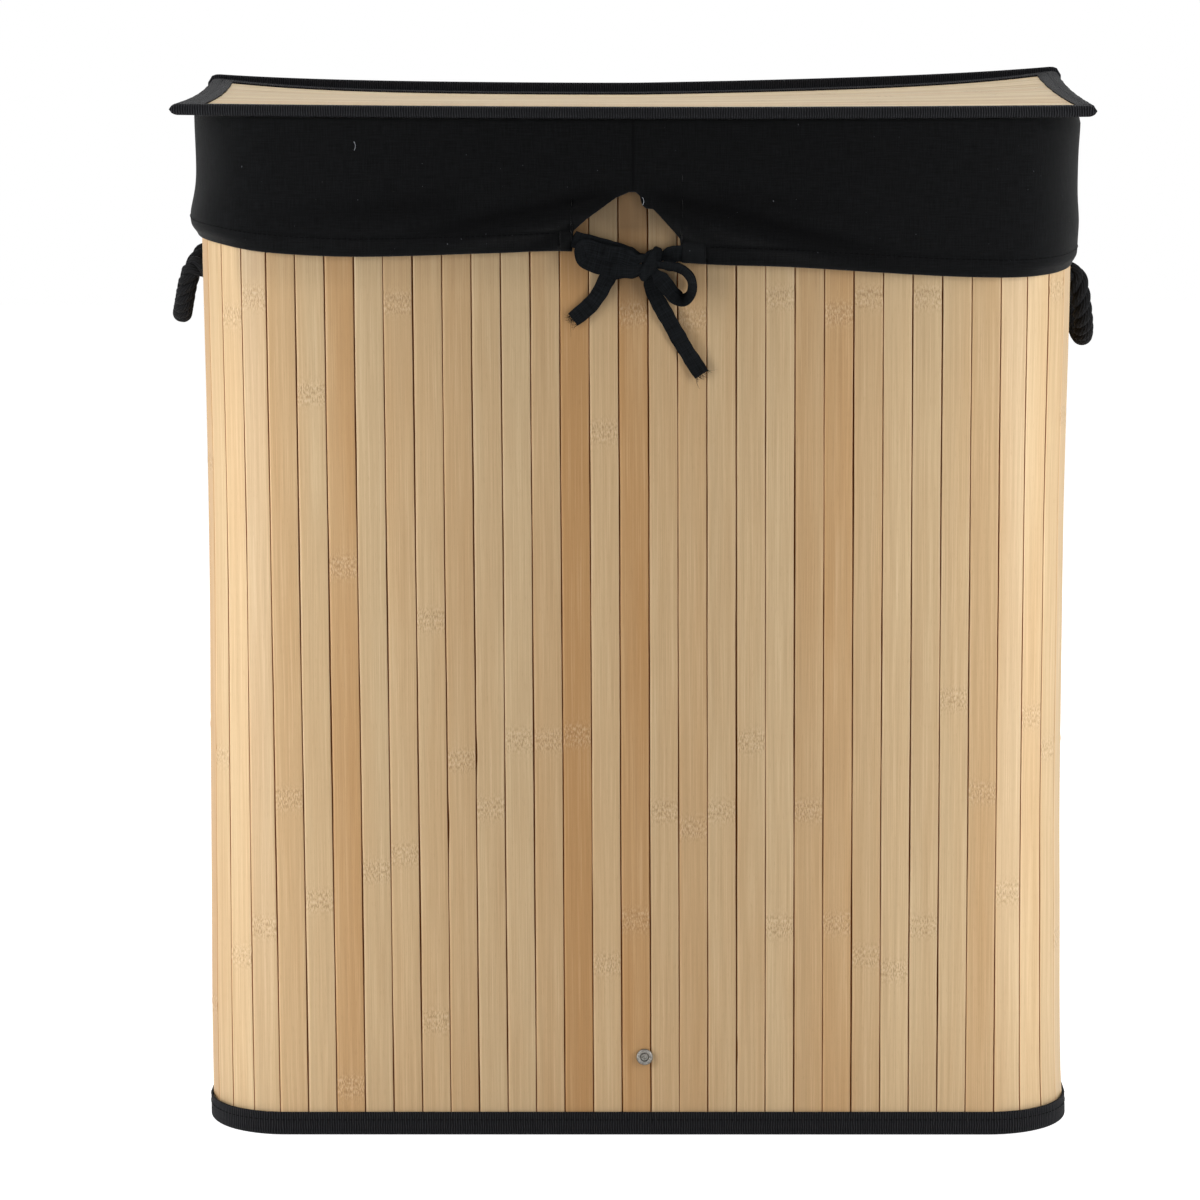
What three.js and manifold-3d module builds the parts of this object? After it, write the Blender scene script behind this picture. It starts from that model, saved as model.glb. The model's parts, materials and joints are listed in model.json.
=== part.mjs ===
// A laundry hamper with two bins: a curtain of upright bamboo slats on a cloth backing, bound top and
// bottom with tape, a cotton liner that turns out over the rim and ties at the front, rope handles,
// and a slatted lid on a cloth hinge along the back.
// Millimetres, +Z up. The front faces -Y, and the origin lies on the floor under the middle.

import * as THREE from 'three';
import { mergeVertices } from 'three/addons/utils/BufferGeometryUtils.js';
import Module from 'manifold-3d';

const wasm = await Module();
wasm.setup();

// Driving sizes of the slat curtain
const slatPitch = 17.1;
const slatGap = 1.1;
const slatThick = 2.2;
const slatBevel = 0.5;
const backingThick = 0.8;
const frontSlats = 25;
const sideSlats = 13;
const cornerSlats = 4;
const wallTop = 605;

// Clearances
const seam = 0.3;
const overrun = 2;

// Tapes that bind the curtain's edges
const baseTapeThick = 1.2;
const baseTapeHeight = 14.4;
const baseTapeInside = 12;
const rimTapeThick = 1;
const rimTapeHeight = 12;
const tapeRound = 0.4;

// Floor of the hamper
const baseClothThick = 0.8;
const boardThick = 3;

// Cotton liner
const clothThick = 1;
const cuffThick = 1.2;
const cuffDrop = 84;
const cuffSlope = 6;
const cuffSideDropLeft = 74;
const cuffSideDropRight = 83;
const cuffInside = 15;
const cuffRound = 0.5;
const hemHeight = 15;
const hemThick = 2.4;
const hemStep = 1.2;
const foldDepth = 2.6;
const foldSlope = 0.17;
const foldWidth = 22;
const foldLength = 150;
const waveDepth = 1.1;
const waveLength = 96;
const slitLeft = -34;
const slitPeak = 2;
const slitRight = 42;
const slitShoulder = 29;
const slitPeakDrop = 42;
const slitLeftDrop = 67;
const slitShoulderDrop = 70;
const slitEnd = 1.5;
const linerInset = 8;
const linerSideInset = 24;
const linerShoulder = 62;
const linerWaveDepth = 1.6;
const linerWaveLength = 118;
const dividerDrop = 36;

// Brace bar and its rivets
const braceThick = 2;
const braceHeight = 16;
const braceEar = 16;
const braceSlack = 0.4;
const rivetX = 5;
const rivetZ = 48.4;
const rivetRadius = 2.4;
const rivetHole = 2.8;
const rivetHeadRadius = 5;
const rivetHeadThick = 1.9;
const rivetDish = 0.9;
const rivetDishRadius = 2.6;
const rivetClenchRadius = 4.2;
const rivetClenchThick = 1.2;
const rivetStandoff = 8;
const rivetSides = 24;

// Rope handles
const ropeRadius = 6;
const ropeHoleDrop = 96;
const ropeHolesApartPitches = 6;
const ropeSagLeft = 32;
const ropeSagRight = 44;
const ropeLeanLeftDegrees = 25;
const ropeLeanRightDegrees = 11;
const ropeSides = 10;
const ropeSteps = 26;
const eyeletBore = 6.5;
const eyeletBarrel = 8;
const eyeletFlange = 11;
const eyeletFlangeThick = 1;
const knotRadius = 12.5;
const knotLength = 13;
const knotWaist = 9.5;

// Drawstring tied in a bow
const ribbonWidth = 9.5;
const ribbonThick = 1.2;
const knotX = 10;
const knotDrop = 84;
const knotHalfWidth = 7.2;
const knotHalfHeight = 8;
const knotHalfThick = 3.3;
const loopRibbonWidth = 6;

// Lid
const lidSideReach = 7.8;
const lidThick = 6.5;
const lidSlats = 19;
const lidSlatThick = 2.6;
const lidLiningThick = 1;
const lidTapeThick = 1.15;
const lidTapeWidth = 13;
const lidReach = 8;
const lidTapeRound = 1.6;

// Cloth hinge of the lid
const hingeThick = 1.2;
const hingeRise = 6;
const hingeSlack = 0.4;
const hingeTopClearance = 2.2;
const hingeSewn = 22;
const hingeBend = 14;
const hingeInset = 5;
const hingeRound = 7;

// Sizes that follow
const wallThick = slatThick + backingThick;
const cornerTurn = Math.PI / 2 / (cornerSlats + 1);
const cornerHeadings = Array.from({ length: cornerSlats }, (_, k) => (k + 1) * cornerTurn);
const cornerReach = cornerHeadings.reduce((sum, angle) => sum + slatPitch * Math.cos(angle), 0);
const halfFrontFlat = frontSlats * slatPitch / 2;
const halfSideFlat = sideSlats * slatPitch / 2;
const halfWidth = halfFrontFlat + cornerReach;
const halfDepth = halfSideFlat + cornerReach;
const wallBottom = baseTapeThick + seam;
const wallHeight = wallTop - wallBottom;
const rimTop = wallTop + seam + rimTapeThick;
const cuffLevel = rimTop + seam;
const cuffTop = cuffLevel + cuffThick;
const lidBottom = cuffTop + seam;
const lidTop = lidBottom + lidThick;
const lidHalfWidth = halfWidth + lidSideReach;
const hingeHalfWidth = lidHalfWidth - hingeInset;
const hingeLine = lidTop + hingeRise;
const boardBottom = wallBottom + baseClothThick + seam;
const linerBottom = boardBottom + boardThick + seam;
const linerTop = wallTop - cuffInside - seam;
const braceX = rivetX - rivetStandoff;
const ropeHoleY = ropeHolesApartPitches * slatPitch / 2;
const ropeHoleHeight = wallTop - ropeHoleDrop;
const stubEnd = seam + eyeletFlangeThick + seam;
const handleAxis = halfWidth + stubEnd + seam + ropeRadius;
const cornerMitre = Math.tan(cornerTurn / 2);

// Materials
const bamboo = new THREE.MeshStandardMaterial({ color: 0xd6b686, roughness: 0.55, metalness: 0 });
const tape = new THREE.MeshStandardMaterial({ color: 0x1a1b1e, roughness: 0.8, metalness: 0 });
const cotton = new THREE.MeshStandardMaterial({ color: 0x15171c, roughness: 0.95, metalness: 0 });
const rope = new THREE.MeshStandardMaterial({ color: 0x121315, roughness: 0.85, metalness: 0 });
const drawstring = new THREE.MeshStandardMaterial({ color: 0x14161a, roughness: 0.9, metalness: 0 });
const steel = new THREE.MeshStandardMaterial({ color: 0xb8babc, roughness: 0.3, metalness: 1 });
const board = new THREE.MeshStandardMaterial({ color: 0x6a4e33, roughness: 0.8, metalness: 0 });

const hamper = new THREE.Group();

function place(name, geometry, material, parent = hamper) {
  const mesh = new THREE.Mesh(geometry, material);
  mesh.name = name;
  parent.add(mesh);
  return mesh;
}

// Booleans

function toSolid(geometry) {
  const bare = geometry.clone();
  bare.deleteAttribute('normal');
  bare.deleteAttribute('uv');
  const merged = mergeVertices(bare);
  const vertProperties = merged.attributes.position.array;
  const triVerts = new Uint32Array(merged.index.array);
  return new wasm.Manifold(new wasm.Mesh({ numProp: 3, vertProperties, triVerts }));
}

function toGeometry(solid) {
  const mesh = solid.getMesh();
  const geometry = new THREE.BufferGeometry();
  geometry.setAttribute('position', new THREE.BufferAttribute(mesh.vertProperties, 3));
  geometry.setIndex(new THREE.BufferAttribute(mesh.triVerts, 1));
  return geometry;
}

function cut(geometry, ...tools) {
  return toGeometry(tools.reduce((left, tool) => left.subtract(toSolid(tool)), toSolid(geometry)));
}

function join(geometry, ...others) {
  return toGeometry(others.reduce((whole, other) => whole.add(toSolid(other)), toSolid(geometry)));
}

// Basic forms

function box(low, high) {
  const geometry = new THREE.BoxGeometry(high[0] - low[0], high[1] - low[1], high[2] - low[2]);
  return geometry.translate((low[0] + high[0]) / 2, (low[1] + high[1]) / 2, (low[2] + high[2]) / 2);
}

function polygon(points) {
  return new THREE.Shape(points.map(([x, y]) => new THREE.Vector2(x, y)));
}

function extruded(points, depth) {
  return new THREE.ExtrudeGeometry(polygon(points), { depth, bevelEnabled: false });
}

function plate(points, bottom, thick) {
  return extruded(points, thick).translate(0, 0, bottom);
}

// A profile in Y and Z carried along X from left to right.
function alongX(points, left, right) {
  return extruded(points, right - left).rotateX(Math.PI / 2).rotateZ(Math.PI / 2).translate(left, 0, 0);
}

// A revolved profile of [radius, distance] points, its axis turned to point along a direction.
function turned(profile, axis, sides = 16) {
  const geometry = new THREE.LatheGeometry(profile.map(([r, t]) => new THREE.Vector2(r, t)), sides);
  const turn = new THREE.Quaternion().setFromUnitVectors(new THREE.Vector3(0, 1, 0), axis);
  return geometry.applyQuaternion(turn);
}

function outwards(geometry) {
  const { position } = geometry.attributes;
  const index = geometry.index.array;
  const [a, b, c] = [new THREE.Vector3(), new THREE.Vector3(), new THREE.Vector3()];
  let volume = 0;
  for (let i = 0; i < index.length; i += 3) {
    a.fromBufferAttribute(position, index[i]);
    b.fromBufferAttribute(position, index[i + 1]);
    c.fromBufferAttribute(position, index[i + 2]);
    volume += a.dot(b.cross(c));
  }
  if (volume < 0) {
    geometry.setIndex(Array.from(index).reverse());
  }
  return geometry;
}

// Closed loops of points, one after another, skinned into a solid. A ring of loops closes on itself,
// and an open run of loops gets an end at each side, laid between the loop's two halves.
function loft(loops, closed) {
  const count = loops[0].length;
  const index = [];
  const runs = closed ? loops.length : loops.length - 1;
  for (let i = 0; i < runs; i++) {
    const here = i * count;
    const next = ((i + 1) % loops.length) * count;
    for (let j = 0; j < count; j++) {
      const k = (j + 1) % count;
      index.push(here + j, next + j, next + k, here + j, next + k, here + k);
    }
  }
  if (!closed) {
    const last = (loops.length - 1) * count;
    for (let j = 0; j < count / 2 - 1; j++) {
      const [a, b, c, d] = [j, j + 1, count - 2 - j, count - 1 - j];
      index.push(a, b, c, a, c, d, last + c, last + b, last + a, last + d, last + c, last + a);
    }
  }
  const geometry = new THREE.BufferGeometry().setFromPoints(loops.flat());
  geometry.setIndex(index);
  return outwards(geometry);
}

// The hamper's outline, walked with the inside on the left. Each corner turns through the corner
// slats, and each point holds the mitre along which it moves when the outline is offset.

function walkOutline() {
  const points = [];
  let [x, y] = [-halfFrontFlat, -halfDepth];
  for (let side = 0; side < 4; side++) {
    const heading = side * Math.PI / 2;
    const flat = 2 * (side % 2 ? halfSideFlat : halfFrontFlat);
    [flat, ...Array(cornerSlats).fill(slatPitch)].forEach((length, k) => {
      const angle = heading + k * cornerTurn;
      x += length * Math.cos(angle);
      y += length * Math.sin(angle);
      points.push({ x, y, ...mitre(angle + cornerTurn / 2, 1 / Math.cos(cornerTurn / 2)), side });
    });
  }
  return points;
}

function mitre(angle, length) {
  return { mx: Math.sin(angle) * length, my: -Math.cos(angle) * length };
}

function offset(point, distance) {
  return [point.x + point.mx * distance, point.y + point.my * distance];
}

const outline = walkOutline();
const perCorner = cornerSlats + 1;

// The outline again, with points added along each flat side at the given shares of its length.
function stations(frontShares, sideShares, backShares) {
  return [frontShares, sideShares, backShares, sideShares].flatMap((shares, side) => {
    const start = outline[(side * perCorner + outline.length - 1) % outline.length];
    const end = outline[side * perCorner];
    const flat = shares.map((share) => ({
      x: THREE.MathUtils.lerp(start.x, end.x, share),
      y: THREE.MathUtils.lerp(start.y, end.y, share),
      ...mitre(side * Math.PI / 2, 1),
    }));
    return [...flat, ...outline.slice(side * perCorner, (side + 1) * perCorner)];
  });
}

// Shares that part a length evenly, without its two ends.
function evenShares(count) {
  return Array.from({ length: count }, (_, k) => (k + 1) / (count + 1));
}

// A closed profile of [offset, height] points carried all round the outline.
function ring(profile) {
  const loops = outline.map((point) => profile.map(([d, z]) => new THREE.Vector3(...offset(point, d), z)));
  return loft(loops, true);
}

// Slat curtain

// A run of slats over the facets between the given outline points: bevelled slats, glued edge to
// edge on one backing, whose sides follow the mitre where the curtain turns.
function slatRun(chain) {
  const facets = chain.slice(1).map((end, k) => {
    const start = chain[k];
    const length = Math.hypot(end.x - start.x, end.y - start.y);
    const along = [(end.x - start.x) / length, (end.y - start.y) / length];
    return { start, length, along, out: [along[1], -along[0]] };
  });
  const at = ({ start, along, out }, t, depth) => [
    start.x + along[0] * t - out[0] * depth,
    start.y + along[1] * t - out[1] * depth,
  ];
  const front = [];
  const back = [];
  facets.forEach((facet, f) => {
    const count = Math.round(facet.length / slatPitch);
    const clear = (end) => (end ? seam / 2 : 0);
    const startAt = (depth) => depth * cornerMitre + clear(f === 0);
    const endAt = (depth) => facet.length - depth * cornerMitre - clear(f === facets.length - 1);
    front.push(at(facet, startAt(slatThick), slatThick));
    for (let k = 0; k < count; k++) {
      const [first, last] = [k === 0 ? cornerMitre : 0, k === count - 1 ? cornerMitre : 0];
      const left = (depth) => k * slatPitch + slatGap / 2 + depth * first;
      const right = (depth) => (k + 1) * slatPitch - slatGap / 2 - depth * last;
      front.push(at(facet, left(slatThick), slatThick), at(facet, left(slatBevel), slatBevel));
      front.push(at(facet, left(0) + slatBevel, 0), at(facet, right(0) - slatBevel, 0));
      front.push(at(facet, right(slatBevel), slatBevel), at(facet, right(slatThick), slatThick));
    }
    if (f === facets.length - 1) {
      front.push(at(facet, endAt(slatThick), slatThick));
    }
    back.push(at(facet, startAt(wallThick), wallThick));
    if (f === facets.length - 1) {
      back.push(at(facet, endAt(wallThick), wallThick));
    }
  });
  return plate([...front, ...back.reverse()], wallBottom, wallHeight);
}

function hole(radius, axis, x, y, z) {
  const reach = wallThick + seam + braceThick + overrun;
  return turned([[0, -reach], [radius, -reach], [radius, reach], [0, reach]], axis).translate(x, y, z);
}

const alongXAxis = new THREE.Vector3(1, 0, 0);
const alongYAxis = new THREE.Vector3(0, 1, 0);

function sidePoints(side) {
  return [outline[(side * perCorner + outline.length - 1) % outline.length], outline[side * perCorner]];
}

const rivetBore = (hand) => hole(rivetHole, alongYAxis, rivetX, hand * halfDepth, rivetZ);
place('front_slat_wall', cut(slatRun(sidePoints(0)), rivetBore(-1)), bamboo);
place('back_slat_wall', cut(slatRun(sidePoints(2)), rivetBore(1)), bamboo);
[['right_slat_wall', 1, 1], ['left_slat_wall', 3, -1]].forEach(([name, side, hand]) => {
  const holes = [-1, 1].map((end) => (
    hole(eyeletBarrel + seam, alongXAxis, hand * halfWidth, end * ropeHoleY, ropeHoleHeight)
  ));
  place(name, cut(slatRun(sidePoints(side)), ...holes), bamboo);
});
['front_right', 'back_right', 'back_left', 'front_left'].forEach((name, side) => {
  place(`${name}_corner_slats`, slatRun(outline.slice(side * perCorner, (side + 1) * perCorner)), bamboo);
});

// Edge tapes, folded over the curtain's edges

function foldedTape([outer, inner], edge, [outerEnd, innerEnd], thick) {
  const inward = Math.sign(outerEnd - edge);
  return ring([
    [outer, outerEnd],
    [outer, edge + inward * tapeRound],
    [outer - tapeRound, edge],
    [inner + tapeRound, edge],
    [inner, edge + inward * tapeRound],
    [inner, innerEnd],
    [inner + thick, innerEnd],
    [inner + thick, edge + inward * thick],
    [outer - thick, edge + inward * thick],
    [outer - thick, outerEnd],
  ]);
}

const baseTapeOut = seam + baseTapeThick;
const baseTapeIn = -wallThick - seam - baseTapeThick;
const baseTapeEnds = [baseTapeHeight, baseTapeInside];
place('bottom_binding', foldedTape([baseTapeOut, baseTapeIn], 0, baseTapeEnds, baseTapeThick), tape);
const rimTapeOut = seam + rimTapeThick;
const rimTapeIn = -wallThick - seam - rimTapeThick;
const rimTapeEnds = [wallTop - rimTapeHeight, wallTop - rimTapeHeight];
place('rim_binding', foldedTape([rimTapeOut, rimTapeIn], rimTop, rimTapeEnds, rimTapeThick), tape);

// Base

const baseInset = baseTapeIn - seam;
place('base_cloth', plate(outline.map((p) => offset(p, baseInset)), wallBottom, baseClothThick), cotton);
place('base_board', plate(outline.map((p) => offset(p, baseInset)), boardBottom, boardThick), board);

// Cuff: the liner's top, turned out over the rim. A slit at the front parts its outer leg, and a hem
// round its lower edge holds the drawstring.

const cornerBlend = (point) => THREE.MathUtils.clamp((Math.abs(point.x) - halfFrontFlat) / cornerReach, 0, 1);

function slitDrop(x, whole) {
  const knots = [
    [slitLeft - slitEnd, whole],
    [slitLeft, slitLeftDrop],
    [slitPeak, slitPeakDrop],
    [slitShoulder, slitShoulderDrop],
    [slitRight, slitShoulderDrop],
    [slitRight + slitEnd, whole],
  ];
  const k = knots.findIndex(([edge]) => x <= edge);
  if (k <= 0) {
    return whole;
  }
  const [[x0, d0], [x1, d1]] = [knots[k - 1], knots[k]];
  return THREE.MathUtils.mapLinear(x, x0, x1, d0, d1);
}

function cuffDropAt(point) {
  const along = cuffDrop + cuffSlope * point.x / halfWidth;
  const side = point.x < 0 ? cuffSideDropLeft : cuffSideDropRight;
  const whole = THREE.MathUtils.lerp(along, side, cornerBlend(point));
  return point.y < -halfSideFlat && Math.abs(point.x) < halfFrontFlat ? slitDrop(point.x, whole) : whole;
}

const inSlit = (point) => point.y < 0 && point.x > slitLeft - slitEnd && point.x < slitRight + slitEnd;

// A soft fold that runs out and down from the slit's peak, to the left and to the right: the cloth
// below its line stands off the slats, and most of all just under the line.
function slitFold(point, z) {
  const away = Math.abs(point.x - slitPeak);
  const under = cuffTop - slitPeakDrop - foldSlope * away - z;
  const swell = THREE.MathUtils.smoothstep(under, -foldWidth / 2, foldWidth / 2);
  const start = THREE.MathUtils.smoothstep(away, slitRight, slitRight + foldWidth);
  const fade = 1 - THREE.MathUtils.smoothstep(away, foldLength / 2, foldLength);
  return point.y < -halfSideFlat ? foldDepth * swell * start * fade : 0;
}

// How far the cloth stands off: the two folds, and low waves round the rim that grow towards the hem
// and die out at the slit and at the hinge.
function cuffSway(point, z) {
  const share = (cuffLevel - z) / cuffDrop;
  const round = Math.atan2(point.y, point.x) * halfWidth;
  const wave = (1 + Math.sin(round * 2 * Math.PI / waveLength)) / 2;
  const fromSlit = point.y < 0 ? THREE.MathUtils.smoothstep(Math.abs(point.x), slitRight, 2 * slitRight) : 0;
  const calm = point.y < halfSideFlat ? Math.max(fromSlit, cornerBlend(point)) : 0;
  return waveDepth * share * calm * wave + slitFold(point, z);
}

const cuffRowShares = [0.24, 0.45, 0.62, 0.8, 1];
const cuffSlitXs = [slitLeft - slitEnd, slitLeft, (slitLeft + slitPeak) / 2, slitPeak,
  (slitPeak + slitShoulder) / 2, slitShoulder, slitRight, slitRight + slitEnd];
const cuffFrontShares = [
  ...[0.09, 0.18, 0.27, 0.35],
  ...cuffSlitXs.map((x) => (x + halfFrontFlat) / (2 * halfFrontFlat)),
  ...[0.68, 0.76, 0.84, 0.92],
];

function cuffLoop(point) {
  const drop = cuffDropAt(point);
  const hem = inSlit(point) ? cuffThick : hemThick;
  const face = rimTapeOut + seam;
  const bottom = cuffTop - drop;
  const hemTop = bottom + hemHeight;
  const rows = cuffRowShares.map((share) => THREE.MathUtils.lerp(cuffLevel, hemTop + hemStep, share));
  const loop = [[rimTapeIn - seam, linerTop + seam], [rimTapeIn - seam, cuffLevel], [face, cuffLevel]];
  rows.forEach((z) => loop.push([face + cuffSway(point, z), z]));
  const hang = face + cuffSway(point, hemTop);
  loop.push([hang, bottom], [hang + hem, bottom], [hang + hem, hemTop]);
  rows.reverse().forEach((z) => loop.push([face + cuffSway(point, z) + cuffThick, z]));
  loop.push([face + cuffThick, cuffLevel], [face + cuffThick - cuffRound, cuffTop]);
  const inner = rimTapeIn - seam - cuffThick;
  loop.push([inner + cuffRound, cuffTop], [inner, cuffTop - cuffRound], [inner, linerTop + seam]);
  return loop.map(([d, z]) => new THREE.Vector3(...offset(point, d), z));
}

const cuffStations = stations(cuffFrontShares, evenShares(7), evenShares(7));
place('liner_cuff', loft(cuffStations.map(cuffLoop), true), cotton);

// Two bags, side by side. Each is a wall panel round three sides, a floor panel and a divider panel.

const linerRowShares = [0, 0.2, 0.42, 0.64, 0.82, 0.93, 1];
const linerTopInset = -rimTapeIn + seam;

function linerInsetAt(point, z) {
  const low = THREE.MathUtils.lerp(linerInset, linerSideInset, cornerBlend(point));
  const shoulder = THREE.MathUtils.smoothstep(z, linerTop - linerShoulder, linerTop);
  const round = Math.atan2(point.y, point.x) * halfWidth;
  const share = (z - linerBottom) / (linerTop - linerBottom);
  const hang = Math.sin(share * Math.PI) * cornerBlend(point);
  return THREE.MathUtils.lerp(low, linerTopInset, shoulder)
    + linerWaveDepth * hang * Math.sin(round * 2 * Math.PI / linerWaveLength);
}

const dividerFace = braceThick / 2 + braceSlack;
const dividerOuter = dividerFace + clothThick;

// The outline points of one bag's wall, from the divider at the front to the divider at the back.
function bagStations(hand) {
  const edge = braceX + hand * (dividerOuter + seam);
  const far = hand * halfFrontFlat;
  const flat = (y, side) => [edge, (edge + far) / 2].map((x) => ({ x, y, ...mitre(side, 1) }));
  const all = stations([], evenShares(7), []);
  const half = all.filter((p) => p.x * hand > 0).sort((a, b) => a.y - b.y || a.x * hand - b.x * hand);
  return [...flat(-halfDepth, 0), ...half, ...flat(halfDepth, Math.PI).reverse()];
}

function bagWall(hand) {
  const heights = linerRowShares.map((share) => THREE.MathUtils.lerp(linerBottom, linerTop, share));
  const loops = bagStations(hand).map((point) => {
    const outer = heights.map((z) => [-linerInsetAt(point, z), z]);
    const inner = heights.map((z) => [-linerInsetAt(point, z) - clothThick, z]).reverse();
    return [...outer, ...inner].map(([d, z]) => new THREE.Vector3(...offset(point, d), z));
  });
  return loft(loops, false);
}

function bagFloor(hand) {
  const inset = (point) => -linerInsetAt(point, linerBottom) - clothThick - seam;
  return plate(bagStations(hand).map((point) => offset(point, inset(point))), linerBottom, clothThick);
}

function bagDivider(hand) {
  const frontEdge = { x: 0, y: -halfDepth };
  const top = linerTop - dividerDrop;
  const heights = linerRowShares.map((share) => THREE.MathUtils.lerp(linerBottom, top, share));
  const right = heights.map((z) => [halfDepth - linerInsetAt(frontEdge, z), z]);
  const left = heights.map((z) => [linerInsetAt(frontEdge, z) - halfDepth, z]).reverse();
  const [near, far] = [braceX + hand * dividerFace, braceX + hand * dividerOuter];
  return alongX([...right, ...left], Math.min(near, far), Math.max(near, far));
}

[['left', -1], ['right', 1]].forEach(([name, hand]) => {
  place(`${name}_bag_wall`, bagWall(hand), cotton);
  place(`${name}_bag_floor`, bagFloor(hand), cotton);
  place(`${name}_bag_divider`, bagDivider(hand), cotton);
});

// Brace bar between the two bags, from the front wall to the back wall, with turned ears

const braceEnd = halfDepth - wallThick - seam;
const braceSide = braceX + braceThick / 2;
const earTip = braceX + braceEar;
const brace = plate([
  [braceX - braceThick / 2, -braceEnd],
  [earTip, -braceEnd],
  [earTip, -braceEnd + braceThick],
  [braceSide, -braceEnd + braceThick],
  [braceSide, braceEnd - braceThick],
  [earTip, braceEnd - braceThick],
  [earTip, braceEnd],
  [braceX - braceThick / 2, braceEnd],
], rivetZ - braceHeight / 2, braceHeight);
place('brace_bar', cut(brace, rivetBore(-1), rivetBore(1)), steel);

// A tubular rivet: a dished head outside, a shank, and a clenched head against the ear.
function rivet(hand) {
  const clench = -wallThick - 2 * seam - braceThick;
  const profile = [
    [0, clench - rivetClenchThick],
    [rivetClenchRadius, clench - rivetClenchThick],
    [rivetClenchRadius, clench],
    [rivetRadius, clench],
    [rivetRadius, seam],
    [rivetHeadRadius, seam],
    [rivetHeadRadius, seam + rivetHeadThick / 2],
    [(rivetHeadRadius + rivetDishRadius) / 2, seam + rivetHeadThick],
    [rivetDishRadius, seam + rivetHeadThick - rivetDish / 3],
    [rivetDishRadius / 2, seam + rivetHeadThick - rivetDish],
    [0, seam + rivetHeadThick - rivetDish],
  ];
  const out = new THREE.Vector3(0, hand, 0);
  return turned(profile, out, rivetSides).translate(rivetX, hand * halfDepth, rivetZ);
}

place('front_rivet', rivet(-1), steel);
place('back_rivet', rivet(1), steel);

// Rope handles: an eyelet round each hole, a stub of rope with a stopper knot inside it, and the
// loop outside, which swings on the line between its two holes.

const eyeletInside = -wallThick - seam;
const eyeletProfile = [
  [eyeletBore, eyeletInside - eyeletFlangeThick],
  [eyeletFlange, eyeletInside - eyeletFlangeThick],
  [eyeletFlange, eyeletInside],
  [eyeletBarrel, eyeletInside],
  [eyeletBarrel, seam],
  [eyeletFlange, seam],
  [eyeletFlange - eyeletFlangeThick / 2, seam + eyeletFlangeThick],
  [eyeletBore, seam + eyeletFlangeThick],
  [eyeletBore, eyeletInside - eyeletFlangeThick],
];
const knotStart = eyeletInside - eyeletFlangeThick - seam;
const knotEnd = knotStart - knotLength;
const stubProfile = [
  [0, knotEnd],
  [ropeRadius, knotEnd],
  [knotRadius, knotEnd + knotLength / 5],
  [knotRadius, knotEnd + knotLength / 3],
  [knotWaist, knotEnd + knotLength / 2],
  [knotRadius, knotStart - knotLength / 3],
  [knotRadius, knotStart - knotLength / 5],
  [ropeRadius + seam, knotStart],
  [ropeRadius, knotStart],
  [ropeRadius, stubEnd],
  [0, stubEnd],
];

class RopeLoop extends THREE.Curve {
  constructor(hand, sag, lean) {
    super();
    Object.assign(this, { hand, sag, lean: THREE.MathUtils.degToRad(lean) });
  }

  // Half an ellipse between the two holes, in a plane that leans out from the wall.
  getPoint(share, target = new THREE.Vector3()) {
    const down = this.sag * Math.sin(share * Math.PI);
    return target.set(
      this.hand * (handleAxis + down * Math.sin(this.lean)),
      ropeHoleY * Math.cos(share * Math.PI),
      ropeHoleHeight - down * Math.cos(this.lean),
    );
  }
}

function circle(radius, sides) {
  const points = Array.from({ length: sides }, (_, k) => k * 2 * Math.PI / sides);
  return points.map((angle) => [radius * Math.cos(angle), radius * Math.sin(angle)]);
}

function ropeHandle(hand, sag, lean) {
  const path = new RopeLoop(hand, sag, lean);
  const section = polygon(circle(ropeRadius, ropeSides));
  const options = { steps: ropeSteps, extrudePath: path, bevelEnabled: false };
  const loop = new THREE.ExtrudeGeometry(section, options);
  const ends = [-1, 1].map((end) => {
    const ball = new THREE.SphereGeometry(ropeRadius, ropeSides, ropeSides);
    return ball.translate(hand * handleAxis, end * ropeHoleY, ropeHoleHeight);
  });
  return join(loop, ...ends);
}

[
  ['left', -1, ropeSagLeft, ropeLeanLeftDegrees],
  ['right', 1, ropeSagRight, ropeLeanRightDegrees],
].forEach(([name, hand, sag, lean]) => {
  place(`${name}_rope_handle`, ropeHandle(hand, sag, lean), rope);
  [['front', -1], ['back', 1]].forEach(([end, along]) => {
    const out = new THREE.Vector3(hand, 0, 0);
    const at = [hand * halfWidth, along * ropeHoleY, ropeHoleHeight];
    place(`${name}_${end}_eyelet`, turned(eyeletProfile, out).translate(...at), steel);
    place(`${name}_${end}_rope_knot`, turned(stubProfile, out).translate(...at), rope);
  });
});

// Drawstring bow: two strands from the hem, a knot, two loops and two tails of flat tape, all cut to
// seat on the knot. A route's points are [x, height above the knot, distance in front of the slats].

const knotZ = cuffTop - knotDrop;
const knotStandoff = knotHalfThick + seam;

function knotForm(spare) {
  const [wide, thick, high] = [knotHalfWidth + spare, knotHalfThick + spare, knotHalfHeight + spare];
  const ball = new THREE.SphereGeometry(1, 16, 10).scale(wide, thick, high);
  return ball.translate(knotX, -halfDepth - knotStandoff, knotZ);
}

function ribbon(route, width) {
  const points = route.map(([x, up, front]) => new THREE.Vector3(x, -halfDepth - front, knotZ + up));
  const [t, w] = [ribbonThick / 2, width / 2];
  const right = [[t, -w + t], [t, w - t], [t / 2, w]];
  const left = [[-t / 2, w], [-t, w - t], [-t, -w + t], [-t / 2, -w]];
  const extrudePath = new THREE.CatmullRomCurve3(points, false, 'centripetal');
  const options = { steps: 2 * route.length, extrudePath, bevelEnabled: false };
  const band = new THREE.ExtrudeGeometry(polygon([...right, ...left, [t / 2, -w]]), options);
  return cut(band, knotForm(seam));
}

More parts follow.
